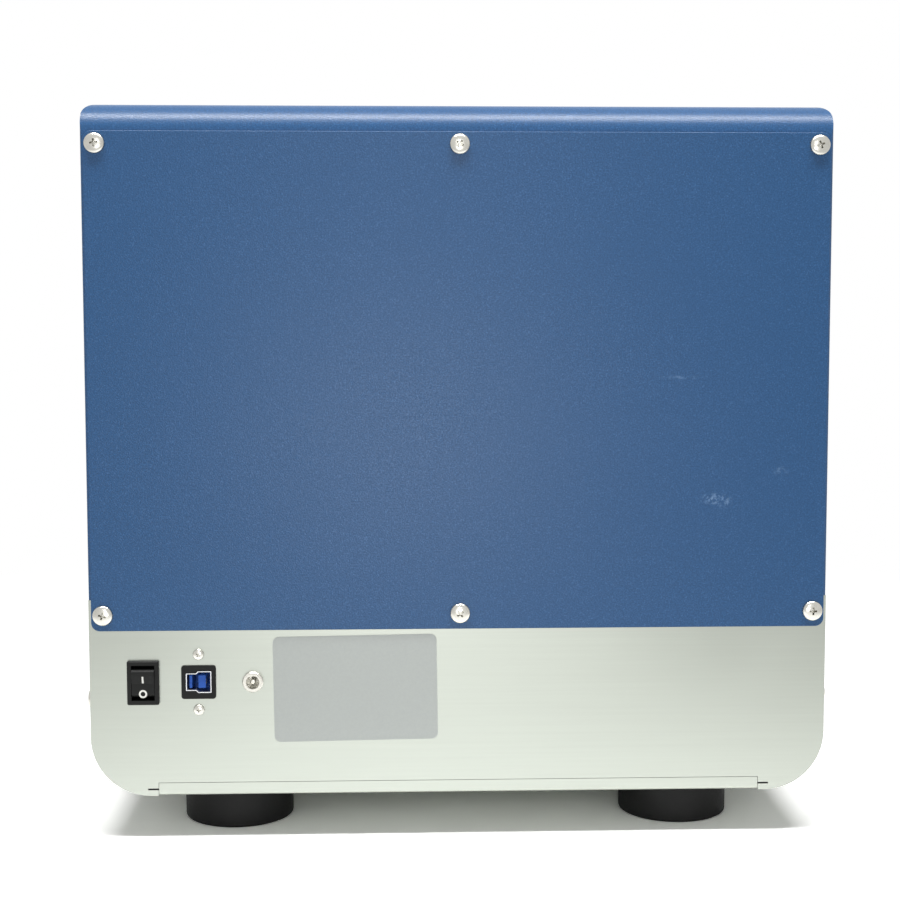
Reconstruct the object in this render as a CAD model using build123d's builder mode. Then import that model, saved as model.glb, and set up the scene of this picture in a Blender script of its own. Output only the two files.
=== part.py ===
from build123d import *
import os
from math import acos, cos, pi, radians, sin, tan

os.makedirs("parts", exist_ok=True)

# Automated cell counter. Millimetres, +Z up, the front faces -Y, the rear with its sockets faces +Y.
# The origin is on the bench, under the middle of the case.

# Case
case_width = 350.0
case_depth = 400.0  # front panel's face to the heads of the rear screws
foot_height = 21.3
base_height = 94.2  # underside of the pan to the line where the hood stands on it
hood_height = 231.8
pan_sheet = 2.0
hood_sheet = 1.5
plate_sheet = 1.5
pan_corner_radius = 28.5
hood_bend_radius = 15.0  # from the top down to the rear and the front
hood_edge_radius = 6.0  # from the top down to the sides
hood_corner_radius = 1.4
hood_inner_radius = 0.3
flange_width = 14.0
lip_inset = 31.8  # from the pan's side to the lip's end
lip_height = 6.2
lip_bend_radius = 1.9
lip_gap = 0.2
relief_length = 5.0
relief_width = 0.8
relief_drop = 3.2

# Rear plate and front panel, which overlap the pan's end panels below the hood
plate_side_margin = 1.4
plate_below_joint = 14.6
plate_below_top = 13.6
plate_corner_radius = 4.0
plate_edge_radius = 0.4
screw_inset_side = 5.6
screw_inset_bottom = 7.6
screw_inset_top = 5.8

# M5 pan head screws, nuts and studs
screw_diameter = 5.0
screw_head_diameter = 9.5
screw_head_height = 2.6
screw_head_crown = 1.1
screw_length = 10.0
screw_clearance = 0.2
screw_turn = 37.0  # from one rear screw's cross to the next
cross_width = 1.2
cross_length = 5.0
cross_depth = 1.6
nut_across_flats = 8.0
nut_height = 4.0
thread_gap = 0.05
side_flange_depth = 20.0
side_screw_rear_inset = 10.0
side_screw_height = 45.2

# Feet
foot_diameter = 53.7
foot_edge_radius = 1.5
foot_side_inset = 65.8
foot_end_inset = 43.0
foot_bore_diameter = 14.0
foot_bore_depth = 9.0
foot_screw_length = 19.0

# Rear sockets, from the case's side and from the underside of the pan
socket_height = 54.8
switch_inset = 25.2
usb_inset = 51.2
dc_inset = 76.8

# Rocker switch
bezel_width = 15.0
bezel_height = 21.0
bezel_thickness = 2.0
bezel_radius = 0.8
switch_body_width = 13.0
switch_body_height = 19.0
switch_body_depth = 14.0
switch_fit = 0.1
rocker_width = 10.6
rocker_half_length = 7.6
rocker_rise = 1.9
rocker_end_radius = 2.4
rocker_side_gap = 0.2
rocker_end_gap = 0.35
rocker_floor_gap = 0.5
rocker_throw = 16.0
rocker_depth = 5.0
rocker_pivot_depth = 1.0
rocker_pin_diameter = 2.0
rocker_pin_length = 0.7
pivot_gap = 0.05
lug_width = 4.8
lug_thickness = 0.8
lug_length = 7.0
lug_spacing = 10.0

# USB type B socket on its side
usb_frame_width = 16.2
usb_frame_height = 15.9
usb_frame_radius = 1.3
usb_frame_stand = 0.8
usb_body_depth = 16.0
usb_ear_thickness = 3.0
usb_ear_height = 34.0
usb_screw_spacing = 26.5
usb_screw_diameter = 3.0
usb_screw_head_diameter = 5.2
usb_screw_head_height = 1.6
usb_screw_length = 6.0
usb_shell_width = 12.0
usb_shell_height = 10.4
usb_shell_step = 1.0
usb_shell_step_x = 0.3
usb_shell_wall = 0.4
usb_shell_inset = 0.5
usb_floor_depth = 3.0
usb_tongue_width = 3.4
usb_tongue_height = 5.9
usb_tongue_shift = -1.5
usb_side_tongue_width = 1.2
usb_side_tongue_shift = 3.8
usb_tongue_inset = 1.5

# DC inlet
dc_barrel_diameter = 8.0
dc_hole_diameter = 6.4
dc_barrel_stand = 2.3
dc_shoulder_diameter = 11.0
dc_body_depth = 13.0
dc_floor_thickness = 2.0
dc_nut_diameter = 9.9
dc_nut_thickness = 1.9
dc_nut_chamfer = 0.4
dc_pin_diameter = 2.5
dc_pin_inset = 1.5

# Label
label_width = 77.6
label_height = 50.5
label_radius = 3.0
label_thickness = 0.25
label_inset = 125.3
label_z_up = 51.3
label_tilt = -0.74

# Front aperture, drawer front and status lamp
aperture_width = 176.0
aperture_height = 42.0
aperture_radius = 3.0
drawer_front_gap = 1.0
drawer_front_thickness = 3.0
led_inset = 45.0
led_diameter = 6.0
led_fit = 0.1
led_flange_diameter = 9.0
led_flange_thickness = 1.2

# Well plate nest, for the usual 127.8 x 85.5 mm footprint
nest_length = 128.6
nest_width = 86.3
nest_depth = 3.0
nest_ledge = 3.5
nest_radius = 4.0
nest_setback = 105.0  # from the front panel's face to the nest's middle

# Optics base plate and the deck above it
plate_standoff_height = 36.0
standoff_diameter = 10.0
machine_plate = 6.0
machine_plate_radius = 5.0
base_plate_side_gap = 35.0  # from the case's side, front and rear
base_plate_front_gap = 23.5
base_plate_rear_gap = 70.9
standoff_inset = 12.0
deck_column_height = 139.0
deck_column_diameter = 14.0
deck_side_gap = 39.0
deck_front_gap = 4.5
deck_rear_gap = 63.9
deck_column_side_inset = 12.0
deck_column_front_inset = 34.0
deck_column_rear_inset = 20.0
deck_window_side_inset = 54.0
deck_window_end_inset = 44.0
deck_window_radius = 8.0

# Linear rails and their bearing blocks
rail_width = 9.0
rail_height = 6.5
block_width = 20.0
block_length = 30.0
block_under = 2.0
block_top = 10.0
rail_gap = 0.1

# Drawer
tray_thickness = 5.0
tray_aperture_gap = 8.0  # between the tray and the aperture's ends
tray_radius = 6.0
crossbar_setback = 55.0  # from the nest's middle
crossbar_width = 12.0
drawer_arm_width = 36.0
drawer_arm_inset = 2.0  # from the deck's side and rear edges
drawer_rail_inset = 26.0
drawer_rail_end_gap = 2.0
drawer_block_front_inset = 16.0
drawer_block_rear_inset = 22.0
drawer_travel = 155.0

# Rack and pinion
gear_module = 1.0
pinion_teeth = 20
pressure_angle = 20.0
gear_addendum = 1.0
gear_dedendum = 1.25
gear_backlash = 0.12
flank_steps = 4
gear_width = 8.0
rack_back = 5.0
rack_inset = 8.0  # from the deck's side
rack_spare = 6.0
pinion_setback = 60.0  # from the nest's middle
pinion_slot_gap = 1.5
motor_shaft_diameter = 5.0
motor_shaft_depth = 6.0
drawer_motor_size = 35.0
drawer_motor_length = 28.0
motor_radius = 3.0

# Scanning stages
stage_setback = 60.0  # from the nest's middle
scan_x = 50.0
scan_y = 36.0
y_rail_x = 60.0
y_block_spacing = 90.0
y_carriage_half_width = 100.0
y_carriage_length = 140.0
x_rail_spacing = 100.0
x_block_spacing = 56.0
x_carriage_half_width = 48.0
x_carriage_length = 150.0
rail_end_spare = 4.0
scan_motor_size = 28.0
scan_motor_length = 30.0
lead_screw_diameter = 6.0
nut_block_width = 20.0
nut_block_length = 16.0
nut_block_floor_gap = 0.3
screw_end_gap = 4.0

# Lamp arm, camera, filter wheel, optics block and objective
column_setback = 113.0  # from the nest's middle
column_depth = 14.0
arm_half_width = 12.0
arm_rise = 66.0  # from the tray to the top of the arm
arm_height = 14.0
arm_reach = 18.0
arm_fillet = 12.0
lamp_diameter = 36.0
lamp_height = 20.0
lamp_lens_diameter = 30.0
lamp_lens_thickness = 4.0
lamp_lens_sink = 2.0
camera_size = 30.0
camera_height = 32.0
camera_tube_diameter = 16.0
camera_tube_height = 8.0
wheel_gap = 3.0
wheel_radius = 38.5
wheel_thickness = 3.0
wheel_hole_circle = 28.0
wheel_filter_count = 6
filter_diameter = 16.0
filter_seat = 1.0
filter_thickness = 2.0
wheel_hub_diameter = 14.0
wheel_hub_height = 5.0
wheel_shaft_diameter = 4.0
wheel_shaft_depth = 8.0
wheel_motor_diameter = 20.0
optics_block_half_width = 16.0
optics_block_height = 28.0
optics_bore_diameter = 18.0
led_module_diameter = 18.0
led_module_length = 20.0
led_module_spacing = 30.0
guide_pin_diameter = 5.0
guide_pin_spacing = 40.0
guide_pin_setback = 55.0
focus_motor_diameter = 18.0
focus_motor_height = 9.0
focus_rod_diameter = 4.0
focus_travel = 3.0
focus_plate_gap = 12.0
focus_plate_height = 8.0
focus_plate_half_width = 14.0
focus_plate_front_margin = 17.0
focus_plate_rear_margin = 12.0
objective_diameter = 24.0
objective_nose_diameter = 12.0
objective_thread_diameter = 20.0
objective_height = 16.5
objective_cone = 7.0
running_gap = 0.05

# Control board
board_side_inset = 135.0  # from the case's side and rear to the board's middle
board_rear_inset = 83.9
board_width = 120.0
board_length = 100.0
board_thickness = 1.6
board_standoff_height = 6.0
board_standoff_diameter = 6.0
board_hole_inset = 5.0
chip_size = 18.0
chip_height = 2.0
chip_pitch = 36.0
chip_count = 3
connector_width = 16.0
connector_depth = 8.0
connector_height = 10.0
connector_pitch = 22.0
connector_count = 5

# Places worked out from the sizes
half_width = case_width / 2
front_face_y = -case_depth / 2
front_y = front_face_y + plate_sheet
rear_y = case_depth / 2 - screw_head_height - plate_sheet
case_middle_y = (front_y + rear_y) / 2
nest_y = front_face_y + nest_setback
shell_depth = rear_y - front_y
base_bottom = foot_height
pan_floor = base_bottom + pan_sheet
joint_z = base_bottom + base_height
case_top = joint_z + hood_height
base_middle_z = (base_bottom + joint_z) / 2
lip_half_width = half_width - lip_inset

plate_bottom = joint_z - plate_below_joint
plate_top = case_top - plate_below_top
plate_width = case_width - 2 * plate_side_margin
plate_height = plate_top - plate_bottom
plate_middle_z = (plate_top + plate_bottom) / 2
screw_x = plate_width / 2 - screw_inset_side
screw_low_z = plate_bottom + screw_inset_bottom
screw_high_z = plate_top - screw_inset_top
screw_columns = (-screw_x, 0, screw_x)
low_screws = [(x, screw_low_z) for x in screw_columns]
high_screws = [(x, screw_high_z) for x in screw_columns]
screw_hole_radius = screw_diameter / 2 + screw_clearance
side_screw_z = base_bottom + side_screw_height
side_screw_ys = (front_y + side_screw_rear_inset, rear_y - side_screw_rear_inset)
side_flange_top = screw_low_z - nut_across_flats
side_flange_bottom = base_bottom + pan_corner_radius
foot_x = half_width - foot_side_inset
foot_ys = (front_y + foot_end_inset, rear_y - foot_end_inset)
foot_places = [(x, y) for x in (-foot_x, foot_x) for y in foot_ys]
socket_z = base_bottom + socket_height
switch_x = half_width - switch_inset
usb_x = half_width - usb_inset
dc_x = half_width - dc_inset
label_x = half_width - label_inset
led_x = half_width - led_inset

base_plate_half_width = half_width - base_plate_side_gap
base_plate_front = front_y + base_plate_front_gap
base_plate_rear = rear_y - base_plate_rear_gap
base_plate_bottom = pan_floor + plate_standoff_height
base_plate_top = base_plate_bottom + machine_plate
deck_half_width = half_width - deck_side_gap
deck_front = front_y + deck_front_gap
deck_rear = rear_y - deck_rear_gap
deck_column_x = deck_half_width - deck_column_side_inset
deck_column_ys = (deck_front + deck_column_front_inset, deck_rear - deck_column_rear_inset)
deck_bottom = base_plate_top + deck_column_height
deck_top = deck_bottom + machine_plate
tray_bottom = deck_top + block_top
tray_top = tray_bottom + tray_thickness
nest_floor = tray_top - nest_depth
tray_half_width = aperture_width / 2 - tray_aperture_gap
crossbar_front = nest_y + crossbar_setback
drawer_arm_x = deck_half_width - drawer_arm_inset - drawer_arm_width / 2
drawer_arm_rear = deck_rear - drawer_arm_inset
drawer_rail_x = deck_half_width - drawer_rail_inset
drawer_block_ys = (crossbar_front + drawer_block_front_inset, drawer_arm_rear - drawer_block_rear_inset)
rack_x = deck_half_width - rack_inset
pinion_y = nest_y + pinion_setback
stage_y = nest_y + stage_setback
y_carriage_bottom = base_plate_top + block_top
y_carriage_top = y_carriage_bottom + machine_plate
x_carriage_bottom = y_carriage_top + block_top
x_carriage_top = x_carriage_bottom + machine_plate
y_screw_z = (base_plate_top + y_carriage_bottom) / 2
x_screw_z = (y_carriage_top + x_carriage_bottom) / 2


def level(z):
    """Plane at height z, with its normal up."""
    return Plane.XY.offset(z)


def across(y):
    """Upright plane across the case at depth y: its x is X, its y is Z and its normal is -Y."""
    return Plane.XZ.offset(-y)


def lengthwise(x):
    """Upright plane along the case at x: its x is Y, its y is Z and its normal is +X."""
    return Plane.YZ.offset(x)


def hood_form(inset):
    """The hood's outer form, drawn in by inset on every side but its open underside."""
    with BuildPart() as form:
        with BuildSketch(lengthwise(-half_width + inset)) as hood_side:
            with Locations((case_middle_y, joint_z)):
                Rectangle(
                    shell_depth - 2 * inset,
                    hood_height - inset,
                    align=(Align.CENTER, Align.MIN),
                )
            fillet(hood_side.vertices().group_by(Axis.Y)[-1], hood_bend_radius - inset)
        extrude(amount=case_width - 2 * inset)
        with BuildSketch(across(rear_y)) as hood_end:
            with Locations((0, joint_z)):
                Rectangle(
                    case_width - 2 * inset,
                    hood_height - inset,
                    align=(Align.CENTER, Align.MIN),
                )
            fillet(hood_end.vertices().group_by(Axis.Y)[-1], hood_edge_radius - inset)
        extrude(amount=shell_depth, mode=Mode.INTERSECT)
        with BuildSketch(level(joint_z)):
            with Locations((0, case_middle_y)):
                corner = max(hood_corner_radius - inset, hood_inner_radius)
                RectangleRounded(case_width - 2 * inset, shell_depth - 2 * inset, corner)
        extrude(amount=hood_height, mode=Mode.INTERSECT)
    return form.part


# Hood: top, sides and the flanges that the rear plate and the front panel are fixed to
with BuildPart() as hood:
    add(hood_form(0))
    add(hood_form(hood_sheet), mode=Mode.SUBTRACT)
    with BuildSketch(across(rear_y)):
        opening_top = screw_high_z - flange_width / 2
        with Locations((0, (joint_z + opening_top) / 2)):
            Rectangle(case_width - 2 * flange_width, opening_top - joint_z)
        with Locations(*high_screws):
            Circle(screw_hole_radius)
    extrude(amount=shell_depth, mode=Mode.SUBTRACT)
hood.part.label = "hood"
export_step(hood.part, "parts/hood.step")

# Base pan: bottom and sides in one bent sheet, with a lip turned up at the rear and the front
with BuildPart() as base_pan:
    inner_radius = pan_corner_radius - pan_sheet
    with BuildSketch(across(rear_y - pan_sheet)) as wrap:
        with Locations((0, base_middle_z)):
            Rectangle(case_width, base_height)
        fillet(wrap.vertices().group_by(Axis.Y)[0], pan_corner_radius)
        with Locations((0, pan_floor)):
            RectangleRounded(
                case_width - 2 * pan_sheet,
                base_height + pan_corner_radius,
                inner_radius,
                align=(Align.CENTER, Align.MIN),
                mode=Mode.SUBTRACT,
            )
    extrude(amount=shell_depth - 2 * pan_sheet)
    with BuildSketch(lengthwise(-lip_half_width)) as lip_form:
        with Locations((case_middle_y, base_bottom)):
            Rectangle(shell_depth, lip_height, align=(Align.CENTER, Align.MIN))
        fillet(lip_form.vertices().group_by(Axis.Y)[0], lip_bend_radius)
        with Locations((case_middle_y, pan_floor)):
            Rectangle(
                shell_depth - 2 * pan_sheet,
                lip_height,
                align=(Align.CENTER, Align.MIN),
                mode=Mode.SUBTRACT,
            )
    extrude(amount=2 * lip_half_width)
    with BuildSketch(lengthwise(-half_width)):
        with Locations(*[(y, side_screw_z) for y in side_screw_ys]):
            Circle(screw_hole_radius)
    extrude(amount=case_width, mode=Mode.SUBTRACT)
    with BuildSketch(level(base_bottom)):
        with Locations(*foot_places):
            Circle(screw_hole_radius)
    extrude(amount=pan_sheet, mode=Mode.SUBTRACT)
base_pan.part.label = "base_pan"
export_step(base_pan.part, "parts/base_pan.step")


def end_panel_outline():
    """The pan's end panel: its outline, the notch over the lip and the reliefs at the notch's ends."""
    with BuildSketch() as outline:
        with Locations((0, base_middle_z)):
            Rectangle(case_width, base_height)
        fillet(outline.vertices().group_by(Axis.Y)[0], pan_corner_radius)
        notch_half_width = lip_half_width + lip_gap
        with Locations((0, base_bottom)):
            Rectangle(
                2 * notch_half_width,
                lip_height + lip_gap,
                align=(Align.CENTER, Align.MIN),
                mode=Mode.SUBTRACT,
            )
        with Locations((0, base_bottom + relief_drop)):
            Rectangle(2 * (notch_half_width + relief_length), relief_width, mode=Mode.SUBTRACT)
        with Locations(*low_screws):
            Circle(screw_hole_radius, mode=Mode.SUBTRACT)
    return outline.sketch


def side_flange_outline():
    """The flange behind the pan's side wall, seen from the side, with its screw hole in the middle."""
    with BuildSketch() as outline:
        with Locations((0, side_flange_bottom)):
            Rectangle(
                side_flange_depth,
                side_flange_top - side_flange_bottom,
                align=(Align.CENTER, Align.MIN),
            )
        with Locations((side_screw_rear_inset - side_flange_depth / 2, side_screw_z)):
            Circle(screw_hole_radius, mode=Mode.SUBTRACT)
    return outline.sketch


# Rear end panel of the base, with the cut-outs for the switch and the sockets
side_flange_xs = (-half_width + pan_sheet, half_width - 2 * pan_sheet)
with BuildPart() as base_rear_panel:
    with BuildSketch(across(rear_y)):
        add(end_panel_outline())
        with Locations((switch_x, socket_z)):
            Rectangle(
                switch_body_width + 2 * switch_fit,
                switch_body_height + 2 * switch_fit,
                mode=Mode.SUBTRACT,
            )
        with Locations((usb_x, socket_z)):
            RectangleRounded(
                usb_frame_width + 2 * switch_fit,
                usb_frame_height + 2 * switch_fit,
                usb_frame_radius + switch_fit,
                mode=Mode.SUBTRACT,
            )
            with GridLocations(0, usb_screw_spacing, 1, 2):
                Circle(usb_screw_diameter / 2 + switch_fit, mode=Mode.SUBTRACT)
        with Locations((dc_x, socket_z)):
            Circle(dc_barrel_diameter / 2 + switch_fit, mode=Mode.SUBTRACT)
    extrude(amount=pan_sheet)
    for flange_x in side_flange_xs:
        with BuildSketch(lengthwise(flange_x)):
            with Locations(Location((rear_y - side_flange_depth / 2, 0), (0, 180, 0))):
                add(side_flange_outline())
        extrude(amount=pan_sheet)
base_rear_panel.part.label = "base_rear_panel"
export_step(base_rear_panel.part, "parts/base_rear_panel.step")

# Front end panel of the base
with BuildPart() as base_front_panel:
    with BuildSketch(across(front_y + pan_sheet)):
        add(end_panel_outline())
    extrude(amount=pan_sheet)
    for flange_x in side_flange_xs:
        with BuildSketch(lengthwise(flange_x)):
            with Locations((front_y + side_flange_depth / 2, 0)):
                add(side_flange_outline())
        extrude(amount=pan_sheet)
base_front_panel.part.label = "base_front_panel"
export_step(base_front_panel.part, "parts/base_front_panel.step")

# Rear plate
with BuildPart() as rear_plate:
    with BuildSketch(across(rear_y)):
        with Locations((0, plate_middle_z)):
            RectangleRounded(plate_width, plate_height, plate_corner_radius)
        with Locations(*low_screws, *high_screws):
            Circle(screw_hole_radius, mode=Mode.SUBTRACT)
    extrude(amount=-plate_sheet)
    fillet(rear_plate.faces().sort_by(Axis.Y)[-1].outer_wire().edges(), plate_edge_radius)
rear_plate.part.label = "rear_plate"
export_step(rear_plate.part, "parts/rear_plate.step")

# Front panel, with the drawer's aperture, the status lamp's hole and studs pressed in behind
aperture_z = tray_top + drawer_front_gap
with BuildPart() as front_panel:
    with BuildSketch(across(front_y)):
        with Locations((0, plate_middle_z)):
            RectangleRounded(plate_width, plate_height, plate_corner_radius)
        with Locations((0, aperture_z)):
            RectangleRounded(aperture_width, aperture_height, aperture_radius, mode=Mode.SUBTRACT)
        with Locations((led_x, aperture_z)):
            Circle(led_diameter / 2 + led_fit, mode=Mode.SUBTRACT)
    extrude(amount=plate_sheet)
    fillet(front_panel.faces().sort_by(Axis.Y)[0].outer_wire().edges(), plate_edge_radius)
    with BuildSketch(across(front_y)):
        with Locations(*low_screws, *high_screws):
            Circle(screw_diameter / 2)
    extrude(amount=-(screw_length - plate_sheet))
front_panel.part.label = "front_panel"
export_step(front_panel.part, "parts/front_panel.step")

# One M5 pan head screw, standing on the origin with its head up
with BuildPart() as pan_screw:
    Cylinder(screw_head_diameter / 2, screw_head_height, align=(Align.CENTER, Align.CENTER, Align.MIN))
    fillet(pan_screw.faces().sort_by(Axis.Z)[-1].edges(), screw_head_crown)
    with BuildSketch(level(screw_head_height)):
        Rectangle(cross_length, cross_width)
        Rectangle(cross_width, cross_length)
    extrude(amount=-cross_depth, mode=Mode.SUBTRACT)
    with BuildSketch(level(0)):
        Circle(screw_diameter / 2)
    extrude(amount=-screw_length)

# Screws of the rear plate: three into the hood's flange and three into the base's rear panel
with BuildPart() as rear_plate_screws:
    for number, (x, z) in enumerate(low_screws + high_screws):
        with Locations(Location((x, rear_y + plate_sheet, z), (-90, 0, 0))):
            with Locations(Location((0, 0, 0), (0, 0, number * screw_turn))):
                add(pan_screw.part)
rear_plate_screws.part.label = "rear_plate_screws"
export_step(rear_plate_screws.part, "parts/rear_plate_screws.step")

# Screws through the pan's sides into the flanges of its end panels
with BuildPart() as side_screws:
    for y in side_screw_ys:
        with Locations(
            Location((half_width, y, side_screw_z), (0, 90, 0)),
            Location((-half_width, y, side_screw_z), (0, -90, 0)),
        ):
            add(pan_screw.part)
side_screws.part.label = "side_screws"
export_step(side_screws.part, "parts/side_screws.step")

# One M5 nut, standing on the origin
with BuildPart() as panel_nut:
    with BuildSketch():
        RegularPolygon(nut_across_flats / 2, 6, major_radius=False)
        Circle(screw_diameter / 2 + thread_gap, mode=Mode.SUBTRACT)
    extrude(amount=nut_height)

# Nuts behind the rear plate, on the front panel's studs, inside the side flanges and over the feet
with BuildPart() as panel_nuts:
    for x in screw_columns:
        with Locations(
            Location((x, rear_y - pan_sheet, screw_low_z), (90, 0, 0)),
            Location((x, rear_y - hood_sheet, screw_high_z), (90, 0, 0)),
            Location((x, front_y + pan_sheet, screw_low_z), (-90, 0, 0)),
            Location((x, front_y + hood_sheet, screw_high_z), (-90, 0, 0)),
        ):
            add(panel_nut.part)
    for y in side_screw_ys:
        with Locations(
            Location((half_width - 2 * pan_sheet, y, side_screw_z), (0, -90, 0)),
            Location((-half_width + 2 * pan_sheet, y, side_screw_z), (0, 90, 0)),
        ):
            add(panel_nut.part)
    with Locations(*[(x, y, pan_floor) for x, y in foot_places]):
        add(panel_nut.part)
panel_nuts.part.label = "panel_nuts"
export_step(panel_nuts.part, "parts/panel_nuts.step")

# Feet
with BuildPart() as feet:
    with BuildSketch():
        with Locations(*foot_places):
            Circle(foot_diameter / 2)
    extrude(amount=foot_height)
    fillet(feet.edges().filter_by(GeomType.CIRCLE).group_by(Axis.Z)[0], foot_edge_radius)
    with Locations(*[(x, y, 0) for x, y in foot_places]):
        with Locations(Location((0, 0, 0), (180, 0, 0))):
            CounterBoreHole(
                radius=screw_hole_radius,
                counter_bore_radius=foot_bore_diameter / 2,
                counter_bore_depth=foot_bore_depth,
                depth=foot_height,
            )
feet.part.label = "feet"
export_step(feet.part, "parts/feet.step")

# Screws that hold the feet, up through the pan
with BuildPart() as foot_screws:
    with BuildSketch(level(foot_bore_depth - screw_head_height)):
        with Locations(*foot_places):
            Circle(screw_head_diameter / 2)
    extrude(amount=screw_head_height)
    with BuildSketch(level(foot_bore_depth)):
        with Locations(*foot_places):
            Circle(screw_diameter / 2)
    extrude(amount=foot_screw_length)
foot_screws.part.label = "foot_screws"
export_step(foot_screws.part, "parts/foot_screws.step")

# Label stuck to the rear panel of the base, a little askew
with BuildPart() as rating_label:
    with BuildSketch(across(rear_y)):
        with Locations(Location((label_x, base_bottom + label_z_up), label_tilt)):
            RectangleRounded(label_width, label_height, label_radius)
    extrude(amount=-label_thickness)
rating_label.part.label = "rating_label"
export_step(rating_label.part, "parts/rating_label.step")

# Switch housing: bezel outside the panel, body through it, open for the rocker, with pivot bores
rocker_pivot_y = rear_y - rocker_pivot_depth
rocker_tilt = rocker_throw / 2
rocker_end_rise = rocker_rise + rocker_pivot_depth + rocker_half_length * tan(radians(rocker_tilt))
rocker_reach = rocker_half_length * cos(radians(rocker_tilt)) + rocker_end_rise * sin(radians(rocker_tilt))
switch_well_half_height = rocker_reach + rocker_end_gap
switch_well_width = rocker_width + 2 * rocker_side_gap
switch_well_depth = (
    rocker_pivot_depth
    + rocker_depth
    + rocker_half_length / 3 * sin(radians(rocker_tilt))
    + rocker_floor_gap
)
with BuildPart() as switch_housing:
    with BuildSketch(across(rear_y)):
        with Locations((switch_x, socket_z)):
            RectangleRounded(bezel_width, bezel_height, bezel_radius)
    extrude(amount=-bezel_thickness)
    chamfer(switch_housing.faces().sort_by(Axis.Y)[-1].edges(), bezel_radius / 2)
    with BuildSketch(across(rear_y)):
        with Locations((switch_x, socket_z)):
            Rectangle(switch_body_width, switch_body_height)
    extrude(amount=switch_body_depth)
    with BuildSketch(across(rear_y + bezel_thickness)):
        with Locations((switch_x, socket_z)):
            Rectangle(switch_well_width, 2 * switch_well_half_height)
    extrude(amount=bezel_thickness + switch_well_depth, mode=Mode.SUBTRACT)
    pivot_bore_length = switch_well_width + 2 * (rocker_pin_length - rocker_side_gap + running_gap)
    with BuildSketch(lengthwise(switch_x - pivot_bore_length / 2)):
        with Locations((rocker_pivot_y, socket_z)):
            Circle(rocker_pin_diameter / 2 + pivot_gap)
    extrude(amount=pivot_bore_length, mode=Mode.SUBTRACT)
switch_housing.part.label = "switch_housing"
export_step(switch_housing.part, "parts/switch_housing.step")

# Rocker: a shallow V seen from the side, resting tilted with its upper end out, on two stub pins
with BuildPart() as switch_rocker:
    with BuildSketch(Plane.YZ):
        with BuildLine():
            Polyline(
                (rocker_rise + rocker_pivot_depth, 0),
                (rocker_end_rise, rocker_half_length),
                (0, rocker_half_length - rocker_rise / 2),
                (-rocker_depth, rocker_half_length / 3),
                (-rocker_depth, -rocker_half_length / 3),
                (0, -rocker_half_length + rocker_rise / 2),
                (rocker_end_rise, -rocker_half_length),
                close=True,
            )
        make_face()
    extrude(amount=rocker_width / 2, both=True)
    fillet(switch_rocker.edges().filter_by(Axis.X).group_by(Axis.Y)[-1], rocker_end_radius)
    with BuildSketch(Plane.YZ):
        Circle(rocker_pin_diameter / 2)
    extrude(amount=rocker_width / 2 + rocker_pin_length, both=True)
switch_rocker.part = Location((switch_x, rocker_pivot_y, socket_z), (-rocker_tilt, 0, 0)) * switch_rocker.part
switch_rocker.part.label = "switch_rocker"
export_step(switch_rocker.part, "parts/switch_rocker.step")

# Solder lugs of the switch
with BuildPart() as switch_lugs:
    with BuildSketch(across(rear_y - switch_body_depth)):
        with Locations((switch_x, socket_z)):
            with GridLocations(0, lug_spacing, 1, 2):
                Rectangle(lug_width, lug_thickness)
    extrude(amount=lug_length)
switch_lugs.part.label = "switch_lugs"
export_step(switch_lugs.part, "parts/switch_lugs.step")


def usb_outline(inset):
    """The USB shell's outline, drawn in by inset: a wide part with a narrower one on its +X side."""
    half_height = usb_shell_height / 2
    upper = [
        (-usb_shell_width / 2, half_height),
        (usb_shell_step_x, half_height),
        (usb_shell_step_x + usb_shell_step, half_height - usb_shell_step),
        (usb_shell_width / 2, half_height - usb_shell_step),
    ]
    with BuildSketch() as outline:
        with BuildLine():
            Polyline(*upper, *[(x, -z) for x, z in reversed(upper)], close=True)
        make_face()
        if inset:
            offset(amount=-inset, kind=Kind.INTERSECTION)
    return outline.sketch


# USB socket's plastic mount: frame through the panel, ears behind it for the two screws
usb_face_y = rear_y + usb_frame_stand
usb_back_y = rear_y - pan_sheet - usb_body_depth
with BuildPart() as usb_mount:
    with BuildSketch(across(usb_face_y)):
        with Locations((usb_x, socket_z)):
            RectangleRounded(usb_frame_width, usb_frame_height, usb_frame_radius)
    extrude(amount=usb_face_y - usb_back_y)
    with BuildSketch(across(rear_y - pan_sheet)):
        with Locations((usb_x, socket_z)):
            Rectangle(usb_frame_width, usb_ear_height)
            with GridLocations(0, usb_screw_spacing, 1, 2):
                Circle(usb_screw_diameter / 2 + thread_gap, mode=Mode.SUBTRACT)
    extrude(amount=usb_ear_thickness)
    with BuildSketch(across(usb_face_y)):
        with Locations((usb_x, socket_z)):
            add(usb_outline(0))
    extrude(amount=usb_face_y - usb_back_y, mode=Mode.SUBTRACT)
usb_mount.part.label = "usb_mount"
export_step(usb_mount.part, "parts/usb_mount.step")

# USB socket's metal shell
with BuildPart() as usb_shell:
    with BuildSketch(across(usb_face_y - usb_shell_inset)):
        with Locations((usb_x, socket_z)):
            add(usb_outline(0))
            add(usb_outline(usb_shell_wall), mode=Mode.SUBTRACT)
    extrude(amount=usb_face_y - usb_shell_inset - usb_back_y)
usb_shell.part.label = "usb_shell"
export_step(usb_shell.part, "parts/usb_shell.step")

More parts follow.
